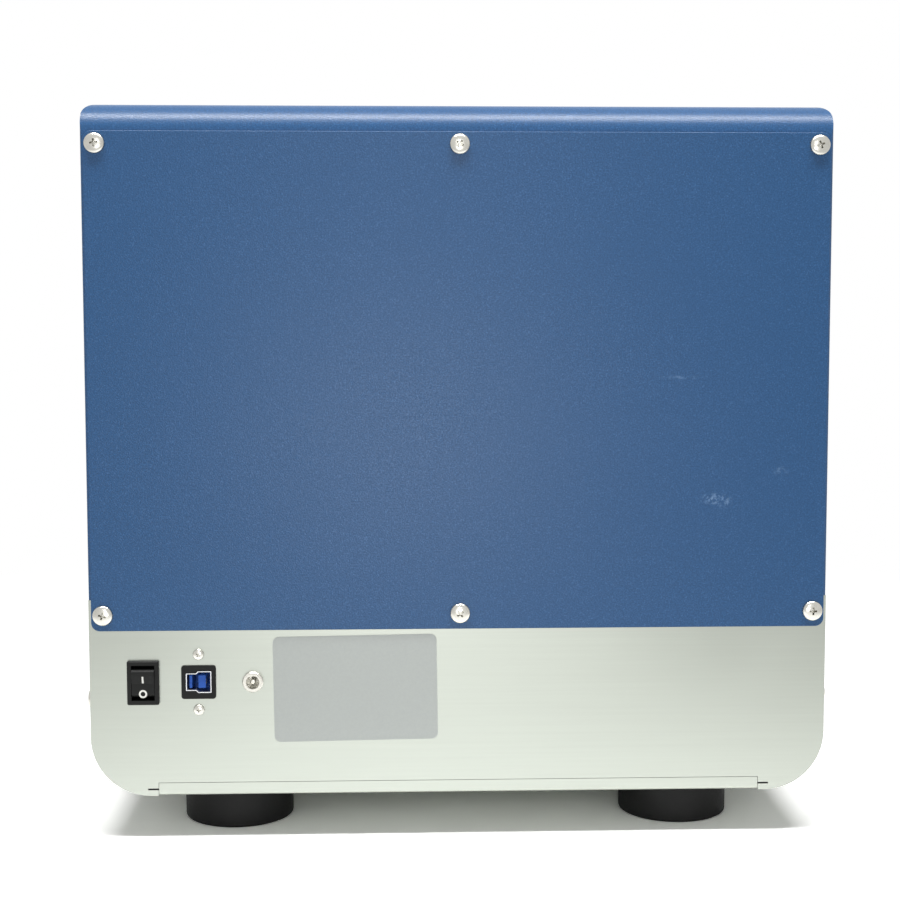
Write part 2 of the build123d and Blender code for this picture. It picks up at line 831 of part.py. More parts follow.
# USB socket's insulator: the floor of the shell with its two contact tongues
with BuildPart() as usb_insulator:
    with BuildSketch(across(usb_back_y + usb_floor_depth)):
        with Locations((usb_x, socket_z)):
            add(usb_outline(usb_shell_wall))
    extrude(amount=usb_floor_depth)
    with BuildSketch(across(usb_face_y - usb_tongue_inset)):
        with Locations((usb_x + usb_tongue_shift, socket_z)):
            Rectangle(usb_tongue_width, usb_tongue_height)
        with Locations((usb_x + usb_side_tongue_shift, socket_z)):
            Rectangle(usb_side_tongue_width, usb_tongue_height)
    extrude(amount=usb_face_y - usb_tongue_inset - usb_back_y)
usb_insulator.part.label = "usb_insulator"
export_step(usb_insulator.part, "parts/usb_insulator.step")

# Screws of the USB mount
with BuildPart() as usb_screws:
    with BuildSketch(across(rear_y)):
        with Locations((usb_x, socket_z)):
            with GridLocations(0, usb_screw_spacing, 1, 2):
                Circle(usb_screw_head_diameter / 2)
    extrude(amount=-usb_screw_head_height)
    fillet(usb_screws.edges().group_by(Axis.Y)[-1], usb_screw_head_height / 2)
    with BuildSketch(across(rear_y)):
        with Locations((usb_x, socket_z)):
            with GridLocations(0, usb_screw_spacing, 1, 2):
                Circle(usb_screw_diameter / 2)
    extrude(amount=usb_screw_length)
usb_screws.part.label = "usb_screws"
export_step(usb_screws.part, "parts/usb_screws.step")

# DC inlet: a threaded barrel through the panel, with a shoulder behind it
dc_back_y = rear_y - pan_sheet - dc_body_depth
with BuildPart() as dc_jack_body:
    with BuildSketch(across(rear_y + dc_barrel_stand)):
        with Locations((dc_x, socket_z)):
            Circle(dc_barrel_diameter / 2)
    extrude(amount=rear_y + dc_barrel_stand - dc_back_y)
    with BuildSketch(across(rear_y - pan_sheet)):
        with Locations((dc_x, socket_z)):
            Circle(dc_shoulder_diameter / 2)
    extrude(amount=dc_body_depth)
    with BuildSketch(across(rear_y + dc_barrel_stand)):
        with Locations((dc_x, socket_z)):
            Circle(dc_hole_diameter / 2)
    extrude(amount=dc_barrel_stand + pan_sheet + dc_body_depth - dc_floor_thickness, mode=Mode.SUBTRACT)
dc_jack_body.part.label = "dc_jack_body"
export_step(dc_jack_body.part, "parts/dc_jack_body.step")

# DC inlet's centre pin
with BuildPart() as dc_jack_pin:
    with BuildSketch(across(rear_y + dc_barrel_stand - dc_pin_inset)):
        with Locations((dc_x, socket_z)):
            Circle(dc_pin_diameter / 2)
    extrude(amount=dc_barrel_stand - dc_pin_inset + dc_body_depth)
    fillet(dc_jack_pin.edges().sort_by(Axis.Y)[-1], dc_pin_diameter / 4)
dc_jack_pin.part.label = "dc_jack_pin"
export_step(dc_jack_pin.part, "parts/dc_jack_pin.step")

# DC inlet's ring nut
with BuildPart() as dc_jack_nut:
    with BuildSketch(across(rear_y)):
        with Locations((dc_x, socket_z)):
            Circle(dc_nut_diameter / 2)
            Circle(dc_barrel_diameter / 2 + thread_gap, mode=Mode.SUBTRACT)
    extrude(amount=-dc_nut_thickness)
    chamfer(dc_jack_nut.edges().group_by(Axis.Y)[-1].sort_by(SortBy.LENGTH)[-1], dc_nut_chamfer)
dc_jack_nut.part.label = "dc_jack_nut"
export_step(dc_jack_nut.part, "parts/dc_jack_nut.step")

# Status lamp's lens, pushed in from behind the front panel
with BuildPart() as status_lamp_lens:
    with BuildSketch(across(front_y)):
        with Locations((led_x, aperture_z)):
            Circle(led_diameter / 2)
    extrude(amount=plate_sheet)
    with BuildSketch(across(front_y)):
        with Locations((led_x, aperture_z)):
            Circle(led_flange_diameter / 2)
    extrude(amount=-led_flange_thickness)
status_lamp_lens.part.label = "status_lamp_lens"
export_step(status_lamp_lens.part, "parts/status_lamp_lens.step")

# Optics base plate on four standoffs
base_plate_length = base_plate_rear - base_plate_front
base_plate_middle = (base_plate_front + base_plate_rear) / 2
standoff_places = [
    (x, y)
    for x in (-base_plate_half_width + standoff_inset, base_plate_half_width - standoff_inset)
    for y in (base_plate_front + standoff_inset, base_plate_rear - standoff_inset)
]
with BuildPart() as optics_base_plate:
    with BuildSketch(level(base_plate_bottom)):
        with Locations((0, base_plate_middle)):
            RectangleRounded(2 * base_plate_half_width, base_plate_length, machine_plate_radius)
    extrude(amount=machine_plate)
optics_base_plate.part.label = "optics_base_plate"
export_step(optics_base_plate.part, "parts/optics_base_plate.step")

with BuildPart() as plate_standoffs:
    with BuildSketch(level(pan_floor)):
        with Locations(*standoff_places):
            RegularPolygon(standoff_diameter / 2, 6)
    extrude(amount=plate_standoff_height)
plate_standoffs.part.label = "plate_standoffs"
export_step(plate_standoffs.part, "parts/plate_standoffs.step")

# Deck that carries the drawer's rails, open in the middle for the objective and the lamp arm
deck_length = deck_rear - deck_front
deck_middle = (deck_front + deck_rear) / 2
deck_column_places = [(x, y) for x in (-deck_column_x, deck_column_x) for y in deck_column_ys]
pinion_radius = gear_module * pinion_teeth / 2
pinion_tip_radius = pinion_radius + gear_addendum * gear_module
rack_pitch_z = tray_bottom - rack_back
pinion_z = rack_pitch_z - pinion_radius
pinion_slot_half_length = pinion_tip_radius + pinion_slot_gap
pinion_slot_start = rack_x - gear_width / 2 - pinion_slot_gap
with BuildPart() as stage_deck:
    with BuildSketch(level(deck_bottom)):
        with Locations((0, deck_middle)):
            RectangleRounded(2 * deck_half_width, deck_length, machine_plate_radius)
            RectangleRounded(
                2 * (deck_half_width - deck_window_side_inset),
                deck_length - 2 * deck_window_end_inset,
                deck_window_radius,
                mode=Mode.SUBTRACT,
            )
        with Locations((pinion_slot_start, pinion_y)):
            Rectangle(
                deck_half_width,
                2 * pinion_slot_half_length,
                align=(Align.MIN, Align.CENTER),
                mode=Mode.SUBTRACT,
            )
    extrude(amount=machine_plate)
stage_deck.part.label = "stage_deck"
export_step(stage_deck.part, "parts/stage_deck.step")

with BuildPart() as deck_columns:
    with BuildSketch(level(base_plate_top)):
        with Locations(*deck_column_places):
            Circle(deck_column_diameter / 2)
    extrude(amount=deck_column_height)
deck_columns.part.label = "deck_columns"
export_step(deck_columns.part, "parts/deck_columns.step")

# Drawer's rails along the deck
drawer_rail_length = deck_length - 2 * drawer_rail_end_gap
with BuildPart() as drawer_rails:
    with BuildSketch(level(deck_top)):
        with Locations((0, deck_middle)):
            with GridLocations(2 * drawer_rail_x, 0, 2, 1):
                Rectangle(rail_width, drawer_rail_length)
    extrude(amount=rail_height)
drawer_rails.part.label = "drawer_rails"
export_step(drawer_rails.part, "parts/drawer_rails.step")


def block_section(seat, places):
    """Bearing blocks in section: inverted U shapes over the rails that stand on the height seat."""
    with BuildSketch() as section:
        for place in places:
            with Locations((place, seat + block_under)):
                Rectangle(block_width, block_top - block_under, align=(Align.CENTER, Align.MIN))
            with Locations((place, seat)):
                Rectangle(
                    rail_width + 2 * rail_gap,
                    rail_height + rail_gap,
                    align=(Align.CENTER, Align.MIN),
                    mode=Mode.SUBTRACT,
                )
    return section.sketch


with BuildPart() as drawer_blocks:
    for y in drawer_block_ys:
        with BuildSketch(across(y + block_length / 2)):
            add(block_section(deck_top, (-drawer_rail_x, drawer_rail_x)))
        extrude(amount=block_length)
drawer_blocks.part.label = "drawer_blocks"
export_step(drawer_blocks.part, "parts/drawer_blocks.step")

# Drawer tray: a narrow part with the plate nest, a crossbar, and two arms back over the rails
tray_front_y = front_face_y + drawer_front_thickness
crossbar_rear = crossbar_front + crossbar_width
with BuildPart() as drawer_tray:
    with BuildSketch(level(tray_bottom)) as tray_form:
        with Locations((0, tray_front_y)):
            Rectangle(
                2 * tray_half_width,
                crossbar_rear - tray_front_y,
                align=(Align.CENTER, Align.MIN),
            )
        with Locations((0, crossbar_front)):
            Rectangle(
                2 * drawer_arm_x + drawer_arm_width, crossbar_width, align=(Align.CENTER, Align.MIN)
            )
        with Locations((-drawer_arm_x, crossbar_front), (drawer_arm_x, crossbar_front)):
            Rectangle(
                drawer_arm_width,
                drawer_arm_rear - crossbar_front,
                align=(Align.CENTER, Align.MIN),
            )
        fillet(tray_form.vertices().group_by(Axis.Y)[-1], tray_radius)
        with Locations((0, nest_y)):
            RectangleRounded(
                nest_length - 2 * nest_ledge,
                nest_width - 2 * nest_ledge,
                nest_radius,
                mode=Mode.SUBTRACT,
            )
    extrude(amount=tray_thickness)
    with BuildSketch(level(nest_floor)):
        with Locations((0, nest_y)):
            RectangleRounded(nest_length, nest_width, nest_radius)
    extrude(amount=nest_depth, mode=Mode.SUBTRACT)
drawer_tray.part.label = "drawer_tray"
export_step(drawer_tray.part, "parts/drawer_tray.step")

# Drawer front, flush in the front panel's aperture
with BuildPart() as drawer_front:
    with BuildSketch(across(tray_front_y)):
        with Locations((0, aperture_z)):
            RectangleRounded(
                aperture_width - 2 * drawer_front_gap,
                aperture_height - 2 * drawer_front_gap,
                aperture_radius - drawer_front_gap,
            )
    extrude(amount=drawer_front_thickness)
    fillet(drawer_front.faces().sort_by(Axis.Y)[0].edges(), plate_edge_radius)
drawer_front.part.label = "drawer_front"
export_step(drawer_front.part, "parts/drawer_front.step")

# Rack under the right arm, its teeth down, with a gap straight over the pinion
tooth_pitch = pi * gear_module
rack_gap_count = int((drawer_travel + 2 * rack_spare) / tooth_pitch) + 1
rack_start_y = pinion_y - tooth_pitch / 2 - int(rack_spare / tooth_pitch) * tooth_pitch
rack_root_z = rack_pitch_z + gear_dedendum * gear_module
rack_tip_z = rack_pitch_z - gear_addendum * gear_module
flank_slope = tan(radians(pressure_angle))
with BuildPart() as drawer_rack:
    with BuildSketch(lengthwise(rack_x - gear_width / 2)):
        with BuildLine():
            half_tooth = tooth_pitch / 4 - gear_backlash / 2
            root_half = half_tooth + (rack_root_z - rack_pitch_z) * flank_slope
            tip_half = half_tooth - (rack_pitch_z - rack_tip_z) * flank_slope
            outline = [(rack_start_y - root_half, tray_bottom)]
            for number in range(rack_gap_count + 1):
                middle = rack_start_y + number * tooth_pitch
                outline += [(middle - root_half, rack_root_z), (middle - tip_half, rack_tip_z)]
                outline += [(middle + tip_half, rack_tip_z), (middle + root_half, rack_root_z)]
            outline.append((outline[-1][0], tray_bottom))
            Polyline(*outline, close=True)
        make_face()
    extrude(amount=gear_width)
drawer_rack.part.label = "drawer_rack"
export_step(drawer_rack.part, "parts/drawer_rack.step")


def involute_angle(radius, base_radius):
    """Angle in radians between an involute's start and its point at radius."""
    if radius <= base_radius:
        return 0.0
    spread = acos(base_radius / radius)
    return tan(spread) - spread


# One tooth of the pinion, pointing along its sketch's y axis
pinion_base_radius = pinion_radius * cos(radians(pressure_angle))
pinion_root_radius = pinion_radius - gear_dedendum * gear_module
tooth_half_angle = (
    (tooth_pitch / 2 - gear_backlash) / 2 / pinion_radius + involute_angle(pinion_radius, pinion_base_radius)
)
with BuildSketch() as pinion_tooth:
    with BuildLine():
        flank_start = max(pinion_base_radius, pinion_root_radius)
        flank_rise = (pinion_tip_radius - flank_start) / flank_steps
        radii = [pinion_root_radius - gear_module / 2]
        radii += [flank_start + step * flank_rise for step in range(flank_steps + 1)]
        half_angles = [tooth_half_angle - involute_angle(r, pinion_base_radius) for r in radii]
        right = [(r * sin(a), r * cos(a)) for r, a in zip(radii, half_angles)]
        left = [(-x, y) for x, y in reversed(right)]
        Polyline(*right, *left, close=True)
    make_face()

# Pinion under the rack, with the hub and shaft that go into the motor
pinion_start_x = rack_x - gear_width / 2
drawer_motor_face_x = deck_half_width
with BuildPart() as drawer_pinion:
    with BuildSketch(lengthwise(pinion_start_x)):
        with Locations((pinion_y, pinion_z)):
            Circle(pinion_root_radius)
            with PolarLocations(0, pinion_teeth):
                add(pinion_tooth.sketch)
    extrude(amount=gear_width)
    with BuildSketch(lengthwise(pinion_start_x + gear_width)):
        with Locations((pinion_y, pinion_z)):
            Circle(motor_shaft_diameter / 2)
    extrude(amount=drawer_motor_face_x - pinion_start_x - gear_width + motor_shaft_depth)
drawer_pinion.part.label = "drawer_pinion"
export_step(drawer_pinion.part, "parts/drawer_pinion.step")

# Drawer's motor, screwed to the deck's edge across the pinion's slot
with BuildPart() as drawer_motor:
    with BuildSketch(lengthwise(drawer_motor_face_x)):
        with Locations((pinion_y, pinion_z)):
            RectangleRounded(drawer_motor_size, drawer_motor_size, motor_radius)
    extrude(amount=drawer_motor_length)
    with BuildSketch(lengthwise(drawer_motor_face_x)):
        with Locations((pinion_y, pinion_z)):
            Circle(motor_shaft_diameter / 2 + running_gap)
    extrude(amount=motor_shaft_depth + running_gap, mode=Mode.SUBTRACT)
drawer_motor.part.label = "drawer_motor"
export_step(drawer_motor.part, "parts/drawer_motor.step")

# Rails of the lengthwise scanning stage, on the optics base plate
y_rail_length = y_block_spacing + block_length + 2 * (scan_y + rail_end_spare)
with BuildPart() as y_rails:
    with BuildSketch(level(base_plate_top)):
        with Locations((0, stage_y)):
            with GridLocations(2 * y_rail_x, 0, 2, 1):
                Rectangle(rail_width, y_rail_length)
    extrude(amount=rail_height)
y_rails.part.label = "y_rails"
export_step(y_rails.part, "parts/y_rails.step")

with BuildPart() as y_blocks:
    for y in (stage_y - y_block_spacing / 2, stage_y + y_block_spacing / 2):
        with BuildSketch(across(y + block_length / 2)):
            add(block_section(base_plate_top, (-y_rail_x, y_rail_x)))
        extrude(amount=block_length)
y_blocks.part.label = "y_blocks"
export_step(y_blocks.part, "parts/y_blocks.step")

with BuildPart() as y_carriage:
    with BuildSketch(level(y_carriage_bottom)):
        with Locations((0, stage_y)):
            RectangleRounded(2 * y_carriage_half_width, y_carriage_length, machine_plate_radius)
    extrude(amount=machine_plate)
y_carriage.part.label = "y_carriage"
export_step(y_carriage.part, "parts/y_carriage.step")

# Motor, screw and nut of the lengthwise stage
with BuildPart() as y_motor:
    with BuildSketch(across(base_plate_rear)):
        with Locations((0, y_screw_z)):
            RectangleRounded(scan_motor_size, scan_motor_size, motor_radius)
    extrude(amount=-scan_motor_length)
    with BuildSketch(across(base_plate_rear)):
        with Locations((0, y_screw_z)):
            Circle(lead_screw_diameter / 2 + running_gap)
    extrude(amount=-(motor_shaft_depth + running_gap), mode=Mode.SUBTRACT)
y_motor.part.label = "y_motor"
export_step(y_motor.part, "parts/y_motor.step")

y_screw_front = stage_y - scan_y - nut_block_length / 2 - screw_end_gap
with BuildPart() as y_lead_screw:
    with BuildSketch(across(base_plate_rear + motor_shaft_depth)):
        with Locations((0, y_screw_z)):
            Circle(lead_screw_diameter / 2)
    extrude(amount=base_plate_rear + motor_shaft_depth - y_screw_front)
y_lead_screw.part.label = "y_lead_screw"
export_step(y_lead_screw.part, "parts/y_lead_screw.step")

y_nut_height = y_carriage_bottom - base_plate_top - nut_block_floor_gap
with BuildPart() as y_nut:
    with BuildSketch(across(stage_y + nut_block_length / 2)):
        with Locations((0, y_carriage_bottom)):
            Rectangle(nut_block_width, y_nut_height, align=(Align.CENTER, Align.MAX))
        with Locations((0, y_screw_z)):
            Circle(lead_screw_diameter / 2 + running_gap, mode=Mode.SUBTRACT)
    extrude(amount=nut_block_length)
y_nut.part.label = "y_nut"
export_step(y_nut.part, "parts/y_nut.step")

# Rails of the crosswise scanning stage, on the lengthwise carriage
x_rail_length = x_block_spacing + block_length + 2 * (scan_x + rail_end_spare)
with BuildPart() as x_rails:
    with BuildSketch(level(y_carriage_top)):
        with Locations((0, stage_y)):
            with GridLocations(0, x_rail_spacing, 1, 2):
                Rectangle(x_rail_length, rail_width)
    extrude(amount=rail_height)
x_rails.part.label = "x_rails"
export_step(x_rails.part, "parts/x_rails.step")

with BuildPart() as x_blocks:
    for x in (-x_block_spacing / 2, x_block_spacing / 2):
        with BuildSketch(lengthwise(x - block_length / 2)):
            rail_ys = (stage_y - x_rail_spacing / 2, stage_y + x_rail_spacing / 2)
            add(block_section(y_carriage_top, rail_ys))
        extrude(amount=block_length)
x_blocks.part.label = "x_blocks"
export_step(x_blocks.part, "parts/x_blocks.step")

with BuildPart() as x_carriage:
    with BuildSketch(level(x_carriage_bottom)):
        with Locations((0, stage_y)):
            RectangleRounded(2 * x_carriage_half_width, x_carriage_length, machine_plate_radius)
    extrude(amount=machine_plate)
x_carriage.part.label = "x_carriage"
export_step(x_carriage.part, "parts/x_carriage.step")

# Motor, screw and nut of the crosswise stage
with BuildPart() as x_motor:
    with BuildSketch(lengthwise(y_carriage_half_width)):
        with Locations((stage_y, x_screw_z)):
            RectangleRounded(scan_motor_size, scan_motor_size, motor_radius)
    extrude(amount=scan_motor_length)
    with BuildSketch(lengthwise(y_carriage_half_width)):
        with Locations((stage_y, x_screw_z)):
            Circle(lead_screw_diameter / 2 + running_gap)
    extrude(amount=motor_shaft_depth + running_gap, mode=Mode.SUBTRACT)
x_motor.part.label = "x_motor"
export_step(x_motor.part, "parts/x_motor.step")

x_screw_start = -scan_x - nut_block_length / 2 - screw_end_gap
with BuildPart() as x_lead_screw:
    with BuildSketch(lengthwise(x_screw_start)):
        with Locations((stage_y, x_screw_z)):
            Circle(lead_screw_diameter / 2)
    extrude(amount=y_carriage_half_width + motor_shaft_depth - x_screw_start)
x_lead_screw.part.label = "x_lead_screw"
export_step(x_lead_screw.part, "parts/x_lead_screw.step")

x_nut_height = x_carriage_bottom - y_carriage_top - nut_block_floor_gap
with BuildPart() as x_nut:
    with BuildSketch(lengthwise(-nut_block_length / 2)):
        with Locations((stage_y, x_carriage_bottom)):
            Rectangle(nut_block_width, x_nut_height, align=(Align.CENTER, Align.MAX))
        with Locations((stage_y, x_screw_z)):
            Circle(lead_screw_diameter / 2 + running_gap, mode=Mode.SUBTRACT)
    extrude(amount=nut_block_length)
x_nut.part.label = "x_nut"
export_step(x_nut.part, "parts/x_nut.step")

# Lamp arm: a column at the back of the carriage and an arm forward over the plate
column_front = nest_y + column_setback
column_rear = column_front + column_depth
arm_front = nest_y - arm_reach
arm_top = tray_top + arm_rise
with BuildPart() as lamp_arm:
    with BuildSketch(lengthwise(-arm_half_width)) as arm_form:
        with BuildLine():
            Polyline(
                (column_rear, x_carriage_top),
                (column_rear, arm_top),
                (arm_front, arm_top),
                (arm_front, arm_top - arm_height),
                (column_front, arm_top - arm_height),
                (column_front, x_carriage_top),
                close=True,
            )
        make_face()
        fillet(arm_form.vertices().sort_by_distance((column_front, arm_top - arm_height))[0], arm_fillet)
        fillet(arm_form.vertices().sort_by_distance((column_rear, arm_top))[0], arm_fillet)
    extrude(amount=2 * arm_half_width)
lamp_arm.part.label = "lamp_arm"
export_step(lamp_arm.part, "parts/lamp_arm.step")

# Bright field lamp under the arm's end, with its lens
lamp_top = arm_top - arm_height
lamp_bottom = lamp_top - lamp_height
with BuildPart() as lamp_housing:
    with BuildSketch(level(lamp_bottom)):
        with Locations((0, nest_y)):
            Circle(lamp_diameter / 2)
    extrude(amount=lamp_height)
    with BuildSketch(level(lamp_bottom)):
        with Locations((0, nest_y)):
            Circle(lamp_lens_diameter / 2)
    extrude(amount=lamp_lens_sink, mode=Mode.SUBTRACT)
lamp_housing.part.label = "lamp_housing"
export_step(lamp_housing.part, "parts/lamp_housing.step")

with BuildPart() as lamp_lens:
    with BuildSketch(level(lamp_bottom + lamp_lens_sink)):
        with Locations((0, nest_y)):
            Circle(lamp_lens_diameter / 2 - running_gap)
    extrude(amount=-lamp_lens_thickness)
    fillet(lamp_lens.edges().sort_by(Axis.Z)[0], lamp_lens_thickness / 3)
lamp_lens.part.label = "lamp_lens"
export_step(lamp_lens.part, "parts/lamp_lens.step")

# Camera looking up from the carriage
camera_top = x_carriage_top + camera_height
with BuildPart() as camera:
    with BuildSketch(level(x_carriage_top)):
        with Locations((0, nest_y)):
            RectangleRounded(camera_size, camera_size, motor_radius)
    extrude(amount=camera_height)
    with BuildSketch(level(camera_top)):
        with Locations((0, nest_y)):
            Circle(camera_tube_diameter / 2)
    extrude(amount=camera_tube_height)
camera.part.label = "camera"
export_step(camera.part, "parts/camera.step")

# Filter wheel over the camera, on the shaft of a small motor
wheel_bottom = camera_top + camera_tube_height + wheel_gap
wheel_top = wheel_bottom + wheel_thickness
wheel_y = nest_y + wheel_hole_circle
wheel_motor_top = wheel_bottom - wheel_hub_height
with BuildPart() as filter_wheel:
    with BuildSketch(level(wheel_bottom)):
        with Locations((0, wheel_y)):
            Circle(wheel_radius)
            with PolarLocations(wheel_hole_circle, wheel_filter_count, start_angle=-90):
                Circle(filter_diameter / 2 - filter_seat, mode=Mode.SUBTRACT)
    extrude(amount=wheel_thickness)
    with BuildSketch(level(wheel_top)):
        with Locations((0, wheel_y)):
            with PolarLocations(wheel_hole_circle, wheel_filter_count, start_angle=-90):
                Circle(filter_diameter / 2)
    extrude(amount=-filter_thickness, mode=Mode.SUBTRACT)
    with BuildSketch(level(wheel_bottom)):
        with Locations((0, wheel_y)):
            Circle(wheel_hub_diameter / 2)
    extrude(amount=-(wheel_hub_height - running_gap))
    with BuildSketch(level(wheel_bottom)):
        with Locations((0, wheel_y)):
            Circle(wheel_shaft_diameter / 2)
    extrude(amount=-(wheel_hub_height + wheel_shaft_depth))
filter_wheel.part.label = "filter_wheel"
export_step(filter_wheel.part, "parts/filter_wheel.step")

with BuildPart() as filters:
    with BuildSketch(level(wheel_top)):
        with Locations((0, wheel_y)):
            with PolarLocations(wheel_hole_circle, wheel_filter_count, start_angle=-90):
                Circle(filter_diameter / 2 - running_gap)
    extrude(amount=-filter_thickness)
filters.part.label = "filters"
export_step(filters.part, "parts/filters.step")

# Optics block: a beam from the column to the optical axis, with the bore and two guide pins
optics_block_bottom = wheel_top + wheel_gap
optics_block_top = optics_block_bottom + optics_block_height
focus_plate_bottom = optics_block_top + focus_plate_gap
focus_plate_top = focus_plate_bottom + focus_plate_height
guide_pin_middle = nest_y + guide_pin_setback
guide_ys = (guide_pin_middle - guide_pin_spacing / 2, guide_pin_middle + guide_pin_spacing / 2)
with BuildPart() as optics_block:
    with BuildSketch(level(optics_block_bottom)):
        with Locations((0, column_front)):
            Rectangle(
                2 * optics_block_half_width,
                column_front - arm_front,
                align=(Align.CENTER, Align.MAX),
            )
        with Locations((0, nest_y)):
            Circle(optics_bore_diameter / 2, mode=Mode.SUBTRACT)
    extrude(amount=optics_block_height)
    fillet(optics_block.edges().filter_by(Axis.Z).group_by(Axis.Y)[0], motor_radius)
    with BuildSketch(level(optics_block_top)):
        with Locations(*[(0, y) for y in guide_ys]):
            Circle(guide_pin_diameter / 2)
    extrude(amount=focus_plate_gap + focus_plate_height + focus_travel)
optics_block.part.label = "optics_block"
export_step(optics_block.part, "parts/optics_block.step")

# Fluorescence lamps on both sides of the block
led_module_z = optics_block_bottom + optics_block_height / 2
led_module_ys = (nest_y + led_module_spacing / 2, nest_y + 3 * led_module_spacing / 2)
with BuildPart() as excitation_lamps:
    for side_x, reach in ((optics_block_half_width, 1), (-optics_block_half_width, -1)):
        with BuildSketch(lengthwise(side_x)):
            with Locations(*[(y, led_module_z) for y in led_module_ys]):
                Circle(led_module_diameter / 2)
        extrude(amount=reach * led_module_length)
excitation_lamps.part.label = "excitation_lamps"
export_step(excitation_lamps.part, "parts/excitation_lamps.step")

# The optics' two small motors: the filter wheel's, and the focus motor with its rod through the plate
with BuildPart() as optics_motors:
    with BuildSketch(level(x_carriage_top)):
        with Locations((0, wheel_y)):
            Circle(wheel_motor_diameter / 2)
    extrude(amount=wheel_motor_top - x_carriage_top)
    with BuildSketch(level(wheel_motor_top)):
        with Locations((0, wheel_y)):
            Circle(wheel_shaft_diameter / 2 + running_gap)
    extrude(amount=-(wheel_shaft_depth + running_gap), mode=Mode.SUBTRACT)
    with BuildSketch(level(optics_block_top)):
        with Locations((0, guide_pin_middle)):
            Circle(focus_motor_diameter / 2)
    extrude(amount=focus_motor_height - focus_travel / 2)
    with BuildSketch(level(optics_block_top)):
        with Locations((0, guide_pin_middle)):
            Circle(focus_rod_diameter / 2)
    extrude(amount=focus_plate_gap + focus_plate_height + focus_travel)
optics_motors.part.label = "optics_motors"
export_step(optics_motors.part, "parts/optics_motors.step")

# Focus plate, sliding on the guide pins, with the objective in its front end
focus_plate_front = nest_y - focus_plate_front_margin
focus_plate_rear = guide_ys[1] + focus_plate_rear_margin
with BuildPart() as focus_plate:
    with BuildSketch(level(focus_plate_bottom)):
        with Locations((0, focus_plate_front)):
            Rectangle(
                2 * focus_plate_half_width,
                focus_plate_rear - focus_plate_front,
                align=(Align.CENTER, Align.MIN),
            )
        with Locations((0, nest_y)):
            Circle(objective_thread_diameter / 2, mode=Mode.SUBTRACT)
        with Locations(*[(0, y) for y in guide_ys]):
            Circle(guide_pin_diameter / 2 + running_gap, mode=Mode.SUBTRACT)
        with Locations((0, guide_pin_middle)):
            Circle(focus_rod_diameter / 2 + running_gap, mode=Mode.SUBTRACT)
    extrude(amount=focus_plate_height)
    fillet(focus_plate.edges().filter_by(Axis.Z).filter_by(GeomType.LINE).group_by(Axis.Y)[0], motor_radius)
focus_plate.part.label = "focus_plate"
export_step(focus_plate.part, "parts/focus_plate.step")

with BuildPart() as objective:
    with BuildSketch(lengthwise(0)):
        with BuildLine():
            Polyline(
                (nest_y, focus_plate_bottom),
                (nest_y + objective_thread_diameter / 2, focus_plate_bottom),
                (nest_y + objective_thread_diameter / 2, focus_plate_top),
                (nest_y + objective_diameter / 2, focus_plate_top),
                (nest_y + objective_diameter / 2, focus_plate_top + objective_height - objective_cone),
                (nest_y + objective_nose_diameter / 2, focus_plate_top + objective_height),
                (nest_y, focus_plate_top + objective_height),
                close=True,
            )
        make_face()
    revolve(axis=Axis((0, nest_y, 0), (0, 0, 1)))
objective.part.label = "objective"
export_step(objective.part, "parts/objective.step")

# Control board on standoffs, with its connectors and chips
board_x = half_width - board_side_inset
board_y = rear_y - board_rear_inset
board_bottom = pan_floor + board_standoff_height
board_top = board_bottom + board_thickness
board_hole_spacing_x = board_width - 2 * board_hole_inset
board_hole_spacing_y = board_length - 2 * board_hole_inset
with BuildPart() as control_board:
    with BuildSketch(level(board_bottom)):
        with Locations((board_x, board_y)):
            Rectangle(board_width, board_length)
    extrude(amount=board_thickness)
control_board.part.label = "control_board"
export_step(control_board.part, "parts/control_board.step")

with BuildPart() as board_standoffs:
    with BuildSketch(level(pan_floor)):
        with Locations((board_x, board_y)):
            with GridLocations(board_hole_spacing_x, board_hole_spacing_y, 2, 2):
                RegularPolygon(board_standoff_diameter / 2, 6)
    extrude(amount=board_standoff_height)
board_standoffs.part.label = "board_standoffs"
export_step(board_standoffs.part, "parts/board_standoffs.step")

with BuildPart() as board_components:
    with BuildSketch(level(board_top)):
        with Locations((board_x, board_y - board_length / 2 + connector_depth)):
            with GridLocations(connector_pitch, 0, connector_count, 1):
                Rectangle(connector_width, connector_depth)
    extrude(amount=connector_height)
    with BuildSketch(level(board_top)):
        with Locations((board_x, board_y)):
            with GridLocations(chip_pitch, 0, chip_count, 1):
                Rectangle(chip_size, chip_size)
    extrude(amount=chip_height)
board_components.part.label = "board_components"
export_step(board_components.part, "parts/board_components.step")
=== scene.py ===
"""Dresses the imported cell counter: finishes for every node, small turned and moulded pieces, studio."""

import logging
import math
from collections.abc import Callable, Iterable, Sequence
from dataclasses import dataclass, field
from enum import Enum
from typing import ClassVar

import bmesh
import bpy
from mathutils import Matrix, Vector


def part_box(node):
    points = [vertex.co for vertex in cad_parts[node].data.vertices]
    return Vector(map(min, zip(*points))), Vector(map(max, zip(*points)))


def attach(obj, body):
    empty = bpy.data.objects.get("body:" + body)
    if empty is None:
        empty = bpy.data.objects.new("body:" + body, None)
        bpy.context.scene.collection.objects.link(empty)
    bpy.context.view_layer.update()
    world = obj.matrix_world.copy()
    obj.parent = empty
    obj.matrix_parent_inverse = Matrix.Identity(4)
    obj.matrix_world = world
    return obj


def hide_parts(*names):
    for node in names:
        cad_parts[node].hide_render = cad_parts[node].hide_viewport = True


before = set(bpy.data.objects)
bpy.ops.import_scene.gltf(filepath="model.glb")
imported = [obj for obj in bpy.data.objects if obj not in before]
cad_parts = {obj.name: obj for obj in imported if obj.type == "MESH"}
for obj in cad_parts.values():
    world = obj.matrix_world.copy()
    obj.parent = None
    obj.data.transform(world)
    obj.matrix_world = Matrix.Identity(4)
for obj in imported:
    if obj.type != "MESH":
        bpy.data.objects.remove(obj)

log = logging.getLogger("cell_counter")
